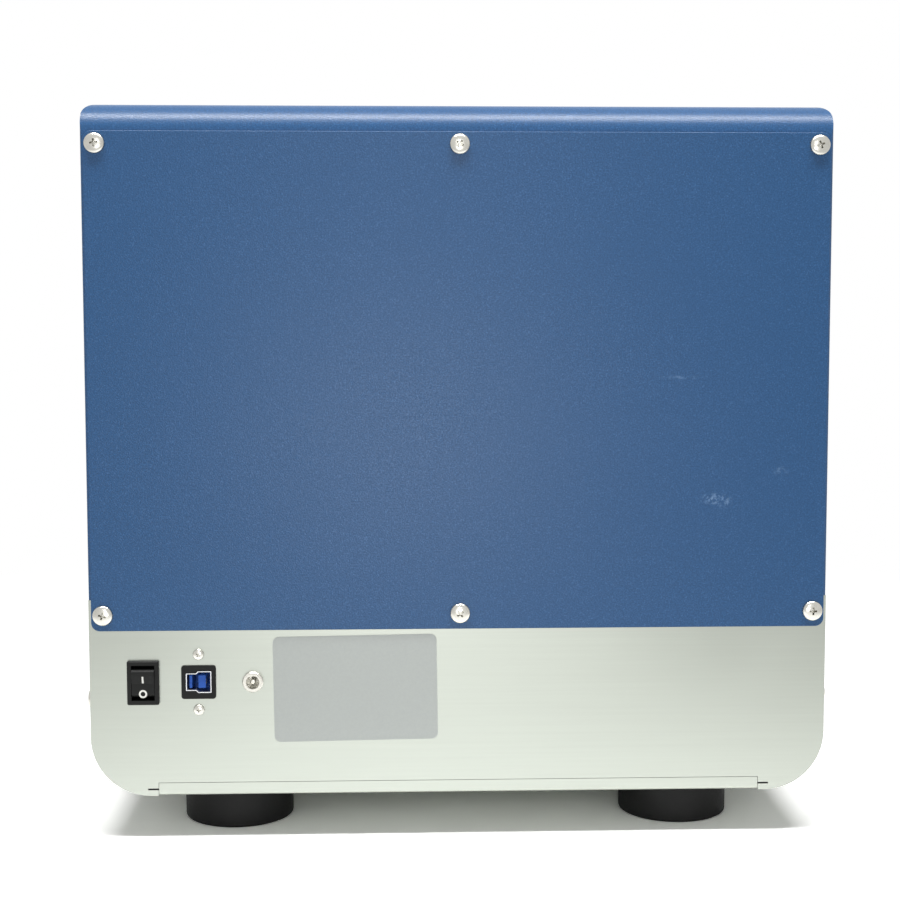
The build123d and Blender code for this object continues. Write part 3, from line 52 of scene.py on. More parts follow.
MM = 0.001

Colour = tuple[float, float, float]
Place = tuple[float, float, float]
Socket = bpy.types.NodeSocket

MERGE_DISTANCE = 0.002 * MM
CREASE_DEGREES = 32.0


class Streak(Enum):
    """Which way a sheet was brushed, as how far its noise is stretched along X, Y and Z."""

    SATIN = (40.0, 3800.0, 3800.0)
    LENGTHWISE = (1400.0, 5.0, 1400.0)


class Body(Enum):
    """The moving groups of the instrument that new pieces ride on."""

    CASE = "case"
    ROCKER = "rocker"
    DRAWER = "drawer"


def linear(red: int, green: int, blue: int) -> Colour:
    """A colour as the shaders want it.

    Args:
        red: Its red as shown, from 0 to 255.
        green: Its green as shown, from 0 to 255.
        blue: Its blue as shown, from 0 to 255.

    Returns:
        The linear colour.
    """
    return tuple(
        c / 12.92 if c <= 0.04045 else ((c + 0.055) / 1.055) ** 2.4
        for c in (red / 255, green / 255, blue / 255)
    )


def shaded(colour: Colour, share: float, lift: float = 0.0) -> Colour:
    """A colour made darker or lighter.

    Args:
        colour: The colour.
        share: What it is multiplied by.
        lift: A little grey that is added to it.

    Returns:
        The new colour.
    """
    return tuple(min(1.0, c * share + lift) for c in colour)


class Wiring:
    """A node tree with short calls that add nodes and join them."""

    def __init__(self, tree: bpy.types.NodeTree) -> None:
        """Keeps the tree that the calls work on."""
        self.tree = tree

    def add(
        self, kind: str, inputs: dict[str | int, object] | None = None, **settings: object
    ) -> bpy.types.Node:
        """Adds a node.

        Args:
            kind: The node's type name.
            inputs: Input names or numbers, each with a value or with the socket that feeds it.
            **settings: The node's own properties.

        Returns:
            The new node.
        """
        node = self.tree.nodes.new(kind)
        for name, value in settings.items():
            setattr(node, name, value)
        for name, value in (inputs or {}).items():
            if isinstance(value, bpy.types.NodeSocket):
                self.tree.links.new(value, node.inputs[name])
            else:
                node.inputs[name].default_value = value
        return node

    def maths(self, operation: str, *values: float | Socket, clamp: bool = False) -> Socket:
        """The result of one Math node on up to three values or sockets."""
        node = self.add("ShaderNodeMath", dict(enumerate(values)), operation=operation, use_clamp=clamp)
        return node.outputs[0]

    def remap(self, value: Socket, low: float, high: float, to_low: float, to_high: float) -> Socket:
        """A value moved from one range into another, and held there.

        Args:
            value: What is moved.
            low: The first range's start.
            high: The first range's end.
            to_low: The second range's start.
            to_high: The second range's end.

        Returns:
            The moved value.
        """
        node = self.add(
            "ShaderNodeMapRange",
            {"Value": value, "From Min": low, "From Max": high, "To Min": to_low, "To Max": to_high},
        )
        return node.outputs["Result"]

    def blend(self, amount: float | Socket, first: object, second: object) -> Socket:
        """The mix of two colours.

        Args:
            amount: How much of the second colour there is, a number or a socket.
            first: The first colour, or a socket that gives one.
            second: The second colour, or a socket that gives one.

        Returns:
            The mixed colour.
        """
        node = self.add("ShaderNodeMix", data_type="RGBA")
        for number, value in ((0, amount), (6, first), (7, second)):
            if isinstance(value, bpy.types.NodeSocket):
                self.tree.links.new(value, node.inputs[number])
            else:
                node.inputs[number].default_value = value if number == 0 else (*value, 1.0)
        return node.outputs[2]


def effect_group(
    name: str,
    inputs: dict[str, tuple[str, object]],
    outputs: dict[str, str],
    fill: Callable[[Wiring, dict[str, Socket]], dict[str, Socket]],
) -> bpy.types.NodeTree:
    """Builds a shader node group once.

    Args:
        name: The group's name.
        inputs: Input names, each with its socket type and default.
        outputs: Output names, each with its socket type.
        fill: Wires the inside from the group's inputs, and returns what feeds each output.

    Returns:
        The group, found or built.
    """
    if name in bpy.data.node_groups:
        return bpy.data.node_groups[name]
    tree = bpy.data.node_groups.new(name, "ShaderNodeTree")
    for label, (kind, default) in inputs.items():
        socket = tree.interface.new_socket(name=label, in_out="INPUT", socket_type=kind)
        socket.default_value = default
    for label, kind in outputs.items():
        tree.interface.new_socket(name=label, in_out="OUTPUT", socket_type=kind)
    wiring = Wiring(tree)
    entry = wiring.add("NodeGroupInput")
    results = fill(wiring, {label: entry.outputs[label] for label in inputs})
    wiring.add("NodeGroupOutput", dict(results))
    return tree


FLOAT = "NodeSocketFloat"
VECTOR = "NodeSocketVector"


def peel_inside(wiring: Wiring, given: dict[str, Socket]) -> dict[str, Socket]:
    """Wires the texture of baked powder: soft pebbles with grains on them, and a painted glint on some of
    the grains.

    Args:
        wiring: The group's nodes.
        given: The group's inputs by name.

    Returns:
        What feeds each output.
    """
    pebble = wiring.add(
        "ShaderNodeTexNoise",
        {"Vector": given["Vector"], "Scale": given["Scale"], "Detail": 1.5, "Roughness": 0.45},
    )
    finer = wiring.maths("MULTIPLY", given["Scale"], 1.3)
    dot = wiring.add("ShaderNodeTexVoronoi", {"Vector": given["Vector"], "Scale": finer, "Randomness": 1.0})
    lot = wiring.add("ShaderNodeSeparateColor", {"Color": dot.outputs["Color"]})
    cloud = wiring.add(
        "ShaderNodeTexNoise", {"Vector": given["Vector"], "Scale": 14.0, "Detail": 3.0, "Roughness": 0.6}
    )
    swell = wiring.maths("MULTIPLY", wiring.maths("SUBTRACT", 1.0, dot.outputs["Distance"]), 0.35)
    height = wiring.maths("ADD", pebble.outputs["Fac"], swell)
    return {
        "Height": height,
        "Fleck": wiring.remap(pebble.outputs["Fac"], 0.34, 0.68, 0.0, 1.0),
        # painted highlight: a mask of random grains whose colour is painted lighter, standing in for light
        # glinting off them
        "PaintedGlint": wiring.remap(lot.outputs["Red"], 0.86, 1.0, 0.0, 1.0),
        "Cloud": cloud.outputs["Fac"],
    }


def peel_group() -> bpy.types.NodeTree:
    """The shared texture of powder coat and moulded skins."""
    return effect_group(
        "powder_peel",
        {"Vector": (VECTOR, (0, 0, 0)), "Scale": (FLOAT, 900.0)},
        {"Height": FLOAT, "Fleck": FLOAT, "PaintedGlint": FLOAT, "Cloud": FLOAT},
        peel_inside,
    )


def brush_inside(wiring: Wiring, given: dict[str, Socket]) -> dict[str, Socket]:
    """Wires brushing: long fine lines with some deeper ones among them, and a slow unevenness.

    Args:
        wiring: The group's nodes.
        given: The group's inputs by name.

    Returns:
        What feeds each output.
    """
    stretch = wiring.add(
        "ShaderNodeVectorMath", {0: given["Vector"], 1: given["Stretch"]}, operation="MULTIPLY"
    )
    lines = wiring.add(
        "ShaderNodeTexNoise", {"Vector": stretch.outputs[0], "Scale": 1.0, "Detail": 2.0, "Roughness": 0.6}
    )
    coarse = wiring.add(
        "ShaderNodeTexNoise", {"Vector": stretch.outputs[0], "Scale": 0.23, "Detail": 1.0, "Roughness": 0.5}
    )
    cloud = wiring.add(
        "ShaderNodeTexNoise", {"Vector": given["Vector"], "Scale": 9.0, "Detail": 3.0, "Roughness": 0.55}
    )
    both = wiring.maths("ADD", lines.outputs["Fac"], coarse.outputs["Fac"])
    return {"Lines": wiring.maths("MULTIPLY", both, 0.5), "Cloud": cloud.outputs["Fac"]}


def brush_group() -> bpy.types.NodeTree:
    """The shared lines of brushed and ground metal."""
    return effect_group(
        "brush_lines",
        {"Vector": (VECTOR, (0, 0, 0)), "Stretch": (VECTOR, (1, 1, 1))},
        {"Lines": FLOAT, "Cloud": FLOAT},
        brush_inside,
    )


def scuff_inside(wiring: Wiring, given: dict[str, Socket]) -> dict[str, Socket]:
    """Wires a rubbed spot: broken streaks that fade out towards the spot's edge.

    Args:
        wiring: The group's nodes.
        given: The group's inputs by name.

    Returns:
        What feeds each output.
    """
    away = wiring.add("ShaderNodeVectorMath", {0: given["Vector"], 1: given["Centre"]}, operation="SUBTRACT")
    share = wiring.add("ShaderNodeVectorMath", {0: away.outputs[0], 1: given["Reach"]}, operation="DIVIDE")
    length = wiring.add("ShaderNodeVectorMath", {0: share.outputs[0]}, operation="LENGTH")
    inside = wiring.remap(length.outputs["Value"], 0.35, 1.0, 1.0, 0.0)
    broken = wiring.add(
        "ShaderNodeTexNoise", {"Vector": given["Vector"], "Scale": 420.0, "Detail": 3.0, "Roughness": 0.7}
    )
    marks = wiring.remap(broken.outputs["Fac"], 0.46, 0.66, 0.0, 1.0)
    return {"Mask": wiring.maths("MULTIPLY", inside, marks)}


def scuff_group() -> bpy.types.NodeTree:
    """The shared rubbed spot."""
    return effect_group(
        "scuff",
        {"Vector": (VECTOR, (0, 0, 0)), "Centre": (VECTOR, (0, 0, 0)), "Reach": (VECTOR, (1, 1, 1))},
        {"Mask": FLOAT},
        scuff_inside,
    )


@dataclass(frozen=True)
class Finish:
    """What every finish has: a name, a colour and a gloss."""

    name: str
    colour: Colour
    roughness: float = 0.5
    built: ClassVar[dict[str, bpy.types.Material]] = {}

    def material(self) -> bpy.types.Material:
        """The finish's material, built the first time it is asked for.

        Returns:
            The material.
        """
        if self.name in self.built:
            return self.built[self.name]
        made = self.built[self.name] = bpy.data.materials.new(self.name)
        made.use_nodes = True
        made.node_tree.nodes.clear()
        wiring = Wiring(made.node_tree)
        shader = wiring.add("ShaderNodeBsdfPrincipled")
        shader.inputs["Base Color"].default_value = (*self.colour, 1.0)
        shader.inputs["Roughness"].default_value = self.roughness
        wiring.add("ShaderNodeOutputMaterial", {"Surface": shader.outputs["BSDF"]})
        place = wiring.add("ShaderNodeTexCoord").outputs["Object"]
        self.detail(wiring, shader, place)
        return made

    def detail(self, wiring: Wiring, shader: bpy.types.Node, place: Socket) -> None:
        """Adds what the finish shows up close. Each finish has its own.

        Args:
            wiring: The material's nodes.
            shader: The material's Principled BSDF.
            place: The place on the piece, from its Object coordinates.
        """
        raise NotImplementedError

    def set_inputs(self, wiring: Wiring, shader: bpy.types.Node, inputs: dict[str, object]) -> None:
        """Sets or feeds the shader's inputs.

        Args:
            wiring: The material's nodes.
            shader: The node to set.
            inputs: Input names, each with a value or with the socket that feeds it.
        """
        for name, value in inputs.items():
            if isinstance(value, bpy.types.NodeSocket):
                wiring.tree.links.new(value, shader.inputs[name])
            else:
                shader.inputs[name].default_value = value

    def bump(self, wiring: Wiring, height: Socket, depth: float, strength: float) -> Socket:
        """The normal that a height gives.

        Args:
            wiring: The material's nodes.
            height: The height, from 0 to 1.
            depth: How deep the height goes, in metres.
            strength: How much of it shows, from 0 to 1.

        Returns:
            The bumped normal.
        """
        node = wiring.add("ShaderNodeBump", {"Height": height, "Distance": depth, "Strength": strength})
        return node.outputs["Normal"]


@dataclass(frozen=True)
class Scuff:
    """A rubbed spot on a panel."""

    centre: Place
    reach: Place
    amount: float


@dataclass(frozen=True)
class PowderCoat(Finish):
    """Baked powder coat with a fine orange peel, rubbed pale in places."""

    grain: float = 1500.0
    relief: float = 0.00006
    # how strongly the painted highlight on random grains shows
    painted_glint: float = 0.55
    sheen_level: float = 0.33
    worn: Colour = (0.5, 0.5, 0.5)
    scuffs: tuple[Scuff, ...] = ()

    def detail(self, wiring: Wiring, shader: bpy.types.Node, place: Socket) -> None:
        """Adds the peel, its paler flecks, a painted highlight on random grains, slow variation and the
        rubbed spots.

        Args:
            wiring: The material's nodes.
            shader: The material's Principled BSDF.
            place: The place on the piece, from its Object coordinates.
        """
        peel = wiring.add("ShaderNodeGroup", node_tree=peel_group())
        wiring.tree.links.new(place, peel.inputs["Vector"])
        peel.inputs["Scale"].default_value = self.grain
        deep, pale = shaded(self.colour, 0.8), shaded(self.colour, 1.22, 0.004)
        paint = wiring.blend(peel.outputs["Fleck"], deep, pale)
        # painted highlight: random grains are painted up to 1.5 times as light, standing in for light
        # glinting off the peel
        bright = shaded(self.colour, 1.5, 0.03)
        paint = wiring.blend(wiring.maths("MULTIPLY", peel.outputs["PaintedGlint"], self.painted_glint), paint, bright)
        slow = wiring.remap(peel.outputs["Cloud"], 0.3, 0.7, 0.0, 0.35)
        paint = wiring.blend(slow, paint, self.colour)
        rubbed: Socket | None = None
        for scuff in self.scuffs:
            spot = wiring.add("ShaderNodeGroup", node_tree=scuff_group())
            wiring.tree.links.new(place, spot.inputs["Vector"])
            spot.inputs["Centre"].default_value = scuff.centre
            spot.inputs["Reach"].default_value = scuff.reach
            part = wiring.maths("MULTIPLY", spot.outputs["Mask"], scuff.amount)
            rubbed = wiring.maths("MAXIMUM", rubbed, part) if rubbed else part
        if rubbed:
            paint = wiring.blend(rubbed, paint, self.worn)
        gloss = wiring.remap(peel.outputs["Fleck"], 0.0, 1.0, self.roughness + 0.05, self.roughness - 0.05)
        normal = self.bump(wiring, peel.outputs["Height"], self.relief, 1.0)
        shader.inputs["Specular IOR Level"].default_value = self.sheen_level
        self.set_inputs(wiring, shader, {"Base Color": paint, "Roughness": gloss, "Normal": normal})


@dataclass(frozen=True)
class BrushedMetal(Finish):
    """Bare or clear coated metal with lines from brushing or grinding."""

    streak: Streak = Streak.LENGTHWISE
    relief: float = 0.000012
    contrast: float = 0.05

    def detail(self, wiring: Wiring, shader: bpy.types.Node, place: Socket) -> None:
        """Adds the lines to colour, gloss and relief, and a slow unevenness.

        Args:
            wiring: The material's nodes.
            shader: The material's Principled BSDF.
            place: The place on the piece, from its Object coordinates.
        """
        lines = wiring.add("ShaderNodeGroup", node_tree=brush_group())
        wiring.tree.links.new(place, lines.inputs["Vector"])
        lines.inputs["Stretch"].default_value = self.streak.value
        dark, light = shaded(self.colour, 1 - self.contrast), shaded(self.colour, 1 + self.contrast)
        share = wiring.remap(lines.outputs["Lines"], 0.3, 0.7, 0.0, 1.0)
        tone = wiring.blend(share, dark, light)
        gloss = wiring.remap(lines.outputs["Cloud"], 0.3, 0.7, self.roughness - 0.04, self.roughness + 0.04)
        normal = self.bump(wiring, lines.outputs["Lines"], self.relief, 1.0)
        self.set_inputs(
            wiring, shader, {"Base Color": tone, "Roughness": gloss, "Metallic": 1.0, "Normal": normal}
        )


@dataclass(frozen=True)
class Plating(Finish):
    """Bright plating, a little uneven and dulled in spots."""

    blotch: float = 260.0

    def detail(self, wiring: Wiring, shader: bpy.types.Node, place: Socket) -> None:
        """Adds dulled spots and a shallow unevenness.

        Args:
            wiring: The material's nodes.
            shader: The material's Principled BSDF.
            place: The place on the piece, from its Object coordinates.
        """
        noise = wiring.add("ShaderNodeTexNoise", {"Vector": place, "Scale": self.blotch, "Detail": 3.0})
        dull = wiring.remap(noise.outputs["Fac"], 0.35, 0.7, 0.0, 1.0)
        tone = wiring.blend(dull, self.colour, shaded(self.colour, 0.86))
        gloss = wiring.remap(noise.outputs["Fac"], 0.35, 0.7, self.roughness, self.roughness + 0.12)
        normal = self.bump(wiring, noise.outputs["Fac"], 0.00002, 0.4)
        self.set_inputs(
            wiring, shader, {"Base Color": tone, "Roughness": gloss, "Metallic": 1.0, "Normal": normal}
        )


@dataclass(frozen=True)
class Moulding(Finish):
    """Moulded plastic or rubber with a spark-eroded skin."""

    grain: float = 1500.0
    relief: float = 0.00003
    sheen_level: float = 0.16

    def detail(self, wiring: Wiring, shader: bpy.types.Node, place: Socket) -> None:
        """Adds the skin's grain and a slow change of tone.

        Args:
            wiring: The material's nodes.
            shader: The material's Principled BSDF.
            place: The place on the piece, from its Object coordinates.
        """
        peel = wiring.add("ShaderNodeGroup", node_tree=peel_group())
        wiring.tree.links.new(place, peel.inputs["Vector"])
        peel.inputs["Scale"].default_value = self.grain
        pale = shaded(self.colour, 1.25, 0.004)
        tone = wiring.blend(wiring.remap(peel.outputs["Cloud"], 0.35, 0.7, 0.0, 1.0), self.colour, pale)
        gloss = wiring.remap(peel.outputs["Fleck"], 0.0, 1.0, self.roughness + 0.04, self.roughness - 0.06)
        normal = self.bump(wiring, peel.outputs["Height"], self.relief, 1.0)
        shader.inputs["Specular IOR Level"].default_value = self.sheen_level
        self.set_inputs(wiring, shader, {"Base Color": tone, "Roughness": gloss, "Normal": normal})


@dataclass(frozen=True)
class LabelFilm(Finish):
    """Blank polyester film with a satin silver face."""

    def detail(self, wiring: Wiring, shader: bpy.types.Node, place: Socket) -> None:
        """Adds the film's faint mottle.

        Args:
            wiring: The material's nodes.
            shader: The material's Principled BSDF.
            place: The place on the piece, from its Object coordinates.
        """
        noise = wiring.add("ShaderNodeTexNoise", {"Vector": place, "Scale": 900.0, "Detail": 3.0})
        mottle = wiring.remap(noise.outputs["Fac"], 0.3, 0.7, 0.0, 1.0)
        tone = wiring.blend(mottle, self.colour, shaded(self.colour, 0.96))
        normal = self.bump(wiring, noise.outputs["Fac"], 0.00001, 0.5)
        self.set_inputs(wiring, shader, {"Base Color": tone, "Metallic": 0.35, "Normal": normal})


@dataclass(frozen=True)
class ClearLens(Finish):
    """Clear glass or acrylic with a faint tint."""

    def detail(self, wiring: Wiring, shader: bpy.types.Node, place: Socket) -> None:
        """Adds transmission and a faint change of tint.

        Args:
            wiring: The material's nodes.
            shader: The material's Principled BSDF.
            place: The place on the piece, from its Object coordinates.
        """
        noise = wiring.add("ShaderNodeTexNoise", {"Vector": place, "Scale": 60.0})
        tone = wiring.blend(noise.outputs["Fac"], self.colour, shaded(self.colour, 0.95))
        self.set_inputs(wiring, shader, {"Base Color": tone, "Transmission Weight": 0.9, "IOR": 1.49})


@dataclass(frozen=True)
class PrintedInk(Finish):
    """Pad printed ink, worn thin in spots."""

    def detail(self, wiring: Wiring, shader: bpy.types.Node, place: Socket) -> None:
        """Adds thin spots to the ink.

        Args:
            wiring: The material's nodes.
            shader: The material's Principled BSDF.
            place: The place on the piece, from its Object coordinates.
        """
        noise = wiring.add("ShaderNodeTexNoise", {"Vector": place, "Scale": 2500.0, "Detail": 2.0})
        thin = wiring.remap(noise.outputs["Fac"], 0.55, 0.75, 0.0, 0.5)
        tone = wiring.blend(thin, self.colour, shaded(self.colour, 0.6))
        self.set_inputs(wiring, shader, {"Base Color": tone})


BLUE_COAT = PowderCoat(
    "blue_powder_coat",
    linear(31, 74, 117),
    0.33,
    worn=linear(120, 150, 186),
    scuffs=(
        Scuff((-0.121, 0.197, 0.1622), (0.0085, 0.02, 0.0032), 0.8),
        Scuff((-0.1255, 0.197, 0.1607), (0.004, 0.02, 0.004), 0.5),
        Scuff((-0.152, 0.197, 0.1752), (0.004, 0.02, 0.003), 0.35),
        Scuff((-0.104, 0.197, 0.2197), (0.012, 0.02, 0.0012), 0.3),
    ),
)
SATIN_BASE = BrushedMetal(
    "brushed_aluminium", linear(161, 165, 157), 0.32, streak=Streak.SATIN, relief=0.000004, contrast=0.02
)
NICKEL = Plating("nickel_screws", linear(200, 198, 190), 0.2)
SHELL_NICKEL = Plating("nickel_shell", linear(225, 226, 228), 0.24)
ZINC = Plating("zinc_steel", linear(200, 203, 200), 0.38)
BLACK_NYLON = Moulding("black_switch_plastic", linear(12, 13, 12), 0.45)
FOOT_RUBBER = Moulding("foot_rubber", linear(18, 18, 18), 0.6, grain=900.0)
BLUE_NYLON = Moulding("blue_insulator", linear(42, 86, 170), 0.35)
ACETAL = Moulding("polymer_nut", linear(226, 224, 216), 0.4)
FILM = LabelFilm("label_film", linear(152, 156, 153), 0.38)
LENS = ClearLens("lamp_glass", linear(240, 244, 247), 0.05)
MACHINED = BrushedMetal("machined_aluminium", linear(206, 208, 210), 0.34)
GROUND = BrushedMetal("ground_steel", linear(196, 198, 200), 0.22)
MOTOR_PAINT = Moulding("black_motor", linear(44, 44, 46), 0.45, grain=600.0)
ANODISED = Moulding("black_anodised", linear(36, 36, 38), 0.4, grain=2200.0)
OBJECTIVE = Plating("objective_brass", linear(214, 206, 186), 0.26)
TINNED = Plating("tin_brass", linear(218, 214, 200), 0.32)
LAMINATE = Moulding("board_laminate", linear(28, 92, 56), 0.35, grain=400.0)
CHIP = Moulding("board_parts", linear(40, 40, 42), 0.5)
WHITE_INK = PrintedInk("white_ink", linear(222, 222, 216), 0.5)
GOLD = Plating("contact_gold", linear(226, 196, 120), 0.25)


def dress(finish: Finish, nodes: Iterable[str]) -> None:
    """Gives CAD nodes a finish by filling their material slots.

    Args:
        finish: What the nodes are made of.
        nodes: The nodes' names.
    """
    material = finish.material()
    for name in nodes:
        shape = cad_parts[name]
        for number in range(len(shape.material_slots)):
            shape.material_slots[number].material = material
        if not shape.material_slots:
            shape.data.materials.append(material)
        log.info("%s is dressed in %s", name, finish.name)


def finished(
    name: str, mesh: bmesh.types.BMesh, finish: Finish, body: Body, crease: float = CREASE_DEGREES
) -> bpy.types.Object:
    """Turns a bmesh into a piece of the instrument.

    Args:
        name: The piece's name.
        mesh: The shape, already in place in the case's frame. It is freed here.
        finish: What the piece is made of.
        body: The body that it moves with.
        crease: The angle in degrees past which an edge stays sharp.

    Returns:
        The new object.
    """
    bmesh.ops.remove_doubles(mesh, verts=mesh.verts, dist=MERGE_DISTANCE)
    bmesh.ops.recalc_face_normals(mesh, faces=mesh.faces)
    for face in mesh.faces:
        face.smooth = True
    for edge in mesh.edges:
        edge.smooth = edge.is_manifold and edge.calc_face_angle(0.0) < math.radians(crease)
    data = bpy.data.meshes.new(name)
    mesh.to_mesh(data)
    mesh.free()
    data.materials.append(finish.material())
    piece = bpy.data.objects.new(name, data)
    bpy.context.scene.collection.objects.link(piece)
    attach(piece, body.value)
    log.info("built %s on %s", name, body.value)
    return piece


def turned(profile: Sequence[tuple[float, float]], steps: int = 48) -> bmesh.types.BMesh:
    """A turned shape about Z.

    Args:
        profile: Radius and height of each corner, from one end of the axis to the other.
        steps: How many facets go round.

    Returns:
        A closed bmesh.
    """
    mesh = bmesh.new()
    corners = [mesh.verts.new((radius, 0, height)) for radius, height in profile]
    rim = [mesh.edges.new(pair) for pair in zip(corners, corners[1:])]
    bmesh.ops.spin(
        mesh, geom=corners + rim, cent=(0, 0, 0), axis=(0, 0, 1), angle=math.tau, steps=steps, use_merge=True
    )
    bmesh.ops.remove_doubles(mesh, verts=mesh.verts, dist=MERGE_DISTANCE)
    bmesh.ops.recalc_face_normals(mesh, faces=mesh.faces)
    return mesh


def carved(shape: bmesh.types.BMesh, cutter: bmesh.types.BMesh) -> bmesh.types.BMesh:
    """One closed shape less another.

    Args:
        shape: What is cut. It is freed here.
        cutter: What is taken away. It is freed here.

    Returns:
        The cut shape.
    """
    made = []
    for label, mesh in (("shape", shape), ("cutter", cutter)):
        data = bpy.data.meshes.new(label)
        mesh.to_mesh(data)
        mesh.free()
        made.append(bpy.data.objects.new(label, data))
        bpy.context.scene.collection.objects.link(made[-1])
    cut = made[0].modifiers.new("cut", "BOOLEAN")
    cut.operation, cut.solver, cut.object, cut.use_self = "DIFFERENCE", "EXACT", made[1], True
    bpy.context.view_layer.update()
    result = bmesh.new()
    result.from_object(made[0], bpy.context.evaluated_depsgraph_get())
    for thing in made:
        data = thing.data
        bpy.data.objects.remove(thing)
        bpy.data.meshes.remove(data)
    return result


def joined(parts: Sequence[bmesh.types.BMesh]) -> bmesh.types.BMesh:
    """Puts parts together in one bmesh.

    Args:
        parts: The parts. They are freed here.

    Returns:
        The whole.
    """
    whole = bmesh.new()
    for part in parts:
        data = bpy.data.meshes.new("part")
        part.to_mesh(data)
        part.free()
        whole.from_mesh(data)
        bpy.data.meshes.remove(data)
    return whole


def copied(mesh: bmesh.types.BMesh, place: Matrix) -> bmesh.types.BMesh:
    """A moved copy of a bmesh.

    Args:
        mesh: What is copied. It is kept.
        place: Where the copy goes.

    Returns:
        The copy.
    """
    twin = mesh.copy()
    bmesh.ops.transform(twin, matrix=place, verts=twin.verts)
    return twin


def block(size: Sequence[float], rounding: float) -> bmesh.types.BMesh:
    """A block about the origin with its upright edges rounded.

    Args:
        size: Lengths along X, Y and Z.
        rounding: The radius of its upright edges.

    Returns:
        A closed bmesh.
    """
    mesh = bmesh.new()
    bmesh.ops.create_cube(mesh, size=1.0, matrix=Matrix.Diagonal((*size, 1.0)))
    upright = [e for e in mesh.edges if abs(e.verts[0].co.z - e.verts[1].co.z) > size[2] / 2]
    bmesh.ops.bevel(
        mesh, geom=upright, offset=rounding, affect="EDGES", segments=6, profile=0.5, material=-1
    )
    return mesh


@dataclass
class PanScrews:
    """A group of pan head screws with a cross recess, which stands for one CAD node."""

    name: str
    node: str
    places: list[Matrix]
    head_radius: float = 4.75 * MM
    head_height: float = 2.6 * MM
    shank_radius: float = 2.5 * MM
    shank_length: float = 10.0 * MM
    turn: float = 37.0
    crease: float = 28.0
    crown_steps: int = 9
    recess_arm: float = 1.1
    recess_width: float = 0.25
    recess_depth: float = 0.85
    recess_taper: tuple[float, float, float] = (0.42, 0.5, 1.0)
    recess_cone: float = 0.32

    def head_profile(self) -> list[tuple[float, float]]:
        """The screw's outline from the crown down to the shank's tip.

        Returns:
            Radius and height of each corner.
        """
        rim = 0.35 * self.head_height
        crown = [
            (
                self.head_radius * math.sin(angle) ** 0.82,
                rim + (self.head_height - rim) * math.cos(angle) ** 0.9,
            )
            for angle in (
                math.radians(90 * step / self.crown_steps) for step in range(1, self.crown_steps + 1)
            )
        ]
        return [
            (0, self.head_height),
            *crown,
            (self.head_radius, 0.08 * self.head_height),
            (self.head_radius * 0.97, 0),
            (self.shank_radius, 0),
            (self.shank_radius, -self.shank_length + 0.4 * self.shank_radius),
            (self.shank_radius * 0.6, -self.shank_length),
            (0, -self.shank_length),
        ]

    def recess(self) -> bmesh.types.BMesh:
        """The cross recess: two tapered bars and a cone.

        Returns:
            The closed cutter.
        """
        arm, width = self.head_radius * self.recess_arm, self.head_radius * self.recess_width
        depth = self.head_height * self.recess_depth
        bars = []
        for quarter in (0, 90):
            bar = bmesh.new()
            bmesh.ops.create_cube(bar, size=1.0, matrix=Matrix.Diagonal((arm, width, 2 * depth, 1.0)))
            foot = [v for v in bar.verts if v.co.z < 0]
            bmesh.ops.scale(bar, vec=self.recess_taper, verts=foot)
            placing = Matrix.Translation((0, 0, self.head_height)) @ Matrix.Rotation(
                math.radians(quarter), 4, "Z"
            )
            bmesh.ops.transform(bar, matrix=placing, verts=bar.verts)
            bars.append(bar)
        cone = bmesh.new()
        bmesh.ops.create_cone(
            cone,
            cap_ends=True,
            segments=24,
            radius1=0.0,
            radius2=arm * self.recess_cone,
            depth=2 * depth,
            matrix=Matrix.Translation((0, 0, self.head_height)),
        )
        return joined([*bars, cone])

    def build(self) -> bpy.types.Object:
        """Makes the group and lets it stand for its node.

        Returns:
            The new object.
        """
        one = carved(turned(self.head_profile()), self.recess())
        parts = [
            copied(one, place @ Matrix.Rotation(math.radians(self.turn * number), 4, "Z"))
            for number, place in enumerate(self.places)
        ]
        one.free()
        piece = finished(self.name, joined(parts), NICKEL, Body.CASE, self.crease)
        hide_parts(self.node)
        return piece


@dataclass
class Housing:
    """The sheet metal case, its label and its feet."""

    screw_side: float = 5.6 * MM
    screw_foot: float = 7.6 * MM
    screw_head: float = 5.8 * MM
    side_screw_inset: float = 10.0 * MM
    side_screw_z: float = 66.5 * MM

    def dress(self) -> None:
        """Gives the case's nodes their finishes."""
        dress(BLUE_COAT, ("hood", "rear_plate", "front_panel"))
        dress(SATIN_BASE, ("base_pan", "base_rear_panel", "base_front_panel"))
        dress(FILM, ("rating_label",))
        dress(FOOT_RUBBER, ("feet",))
        dress(ZINC, ("foot_screws", "panel_nuts", "plate_standoffs", "board_standoffs"))

    def rear_screw_places(self) -> list[Matrix]:
        """Where the six screws stand on the rear plate, their heads to the rear.

        Returns:
            A placing matrix for each screw.
        """
        low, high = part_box("rear_plate")
        out = Matrix.Rotation(math.radians(-90), 4, "X")
        return [
            Matrix.Translation((x, high[1], z)) @ out
            for z in (low[2] + self.screw_foot, high[2] - self.screw_head)
            for x in (low[0] + self.screw_side, 0.0, high[0] - self.screw_side)
        ]

    def side_screw_places(self) -> list[Matrix]:
        """Where the four screws stand on the pan's sides.

        Returns:
            A placing matrix for each screw.
        """
        low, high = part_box("base_pan")
        return [
            Matrix.Translation((x, y, self.side_screw_z)) @ Matrix.Rotation(math.radians(angle), 4, "Y")
            for x, angle in ((low[0], -90), (high[0], 90))
            for y in (low[1] + self.side_screw_inset, high[1] - self.side_screw_inset)
        ]

    def build(self) -> None:
        """Dresses the nodes and makes the screws."""
        self.dress()
        PanScrews("rear_panel_screws", "rear_plate_screws", self.rear_screw_places()).build()
        PanScrews("side_panel_screws", "side_screws", self.side_screw_places(), turn=53.0).build()


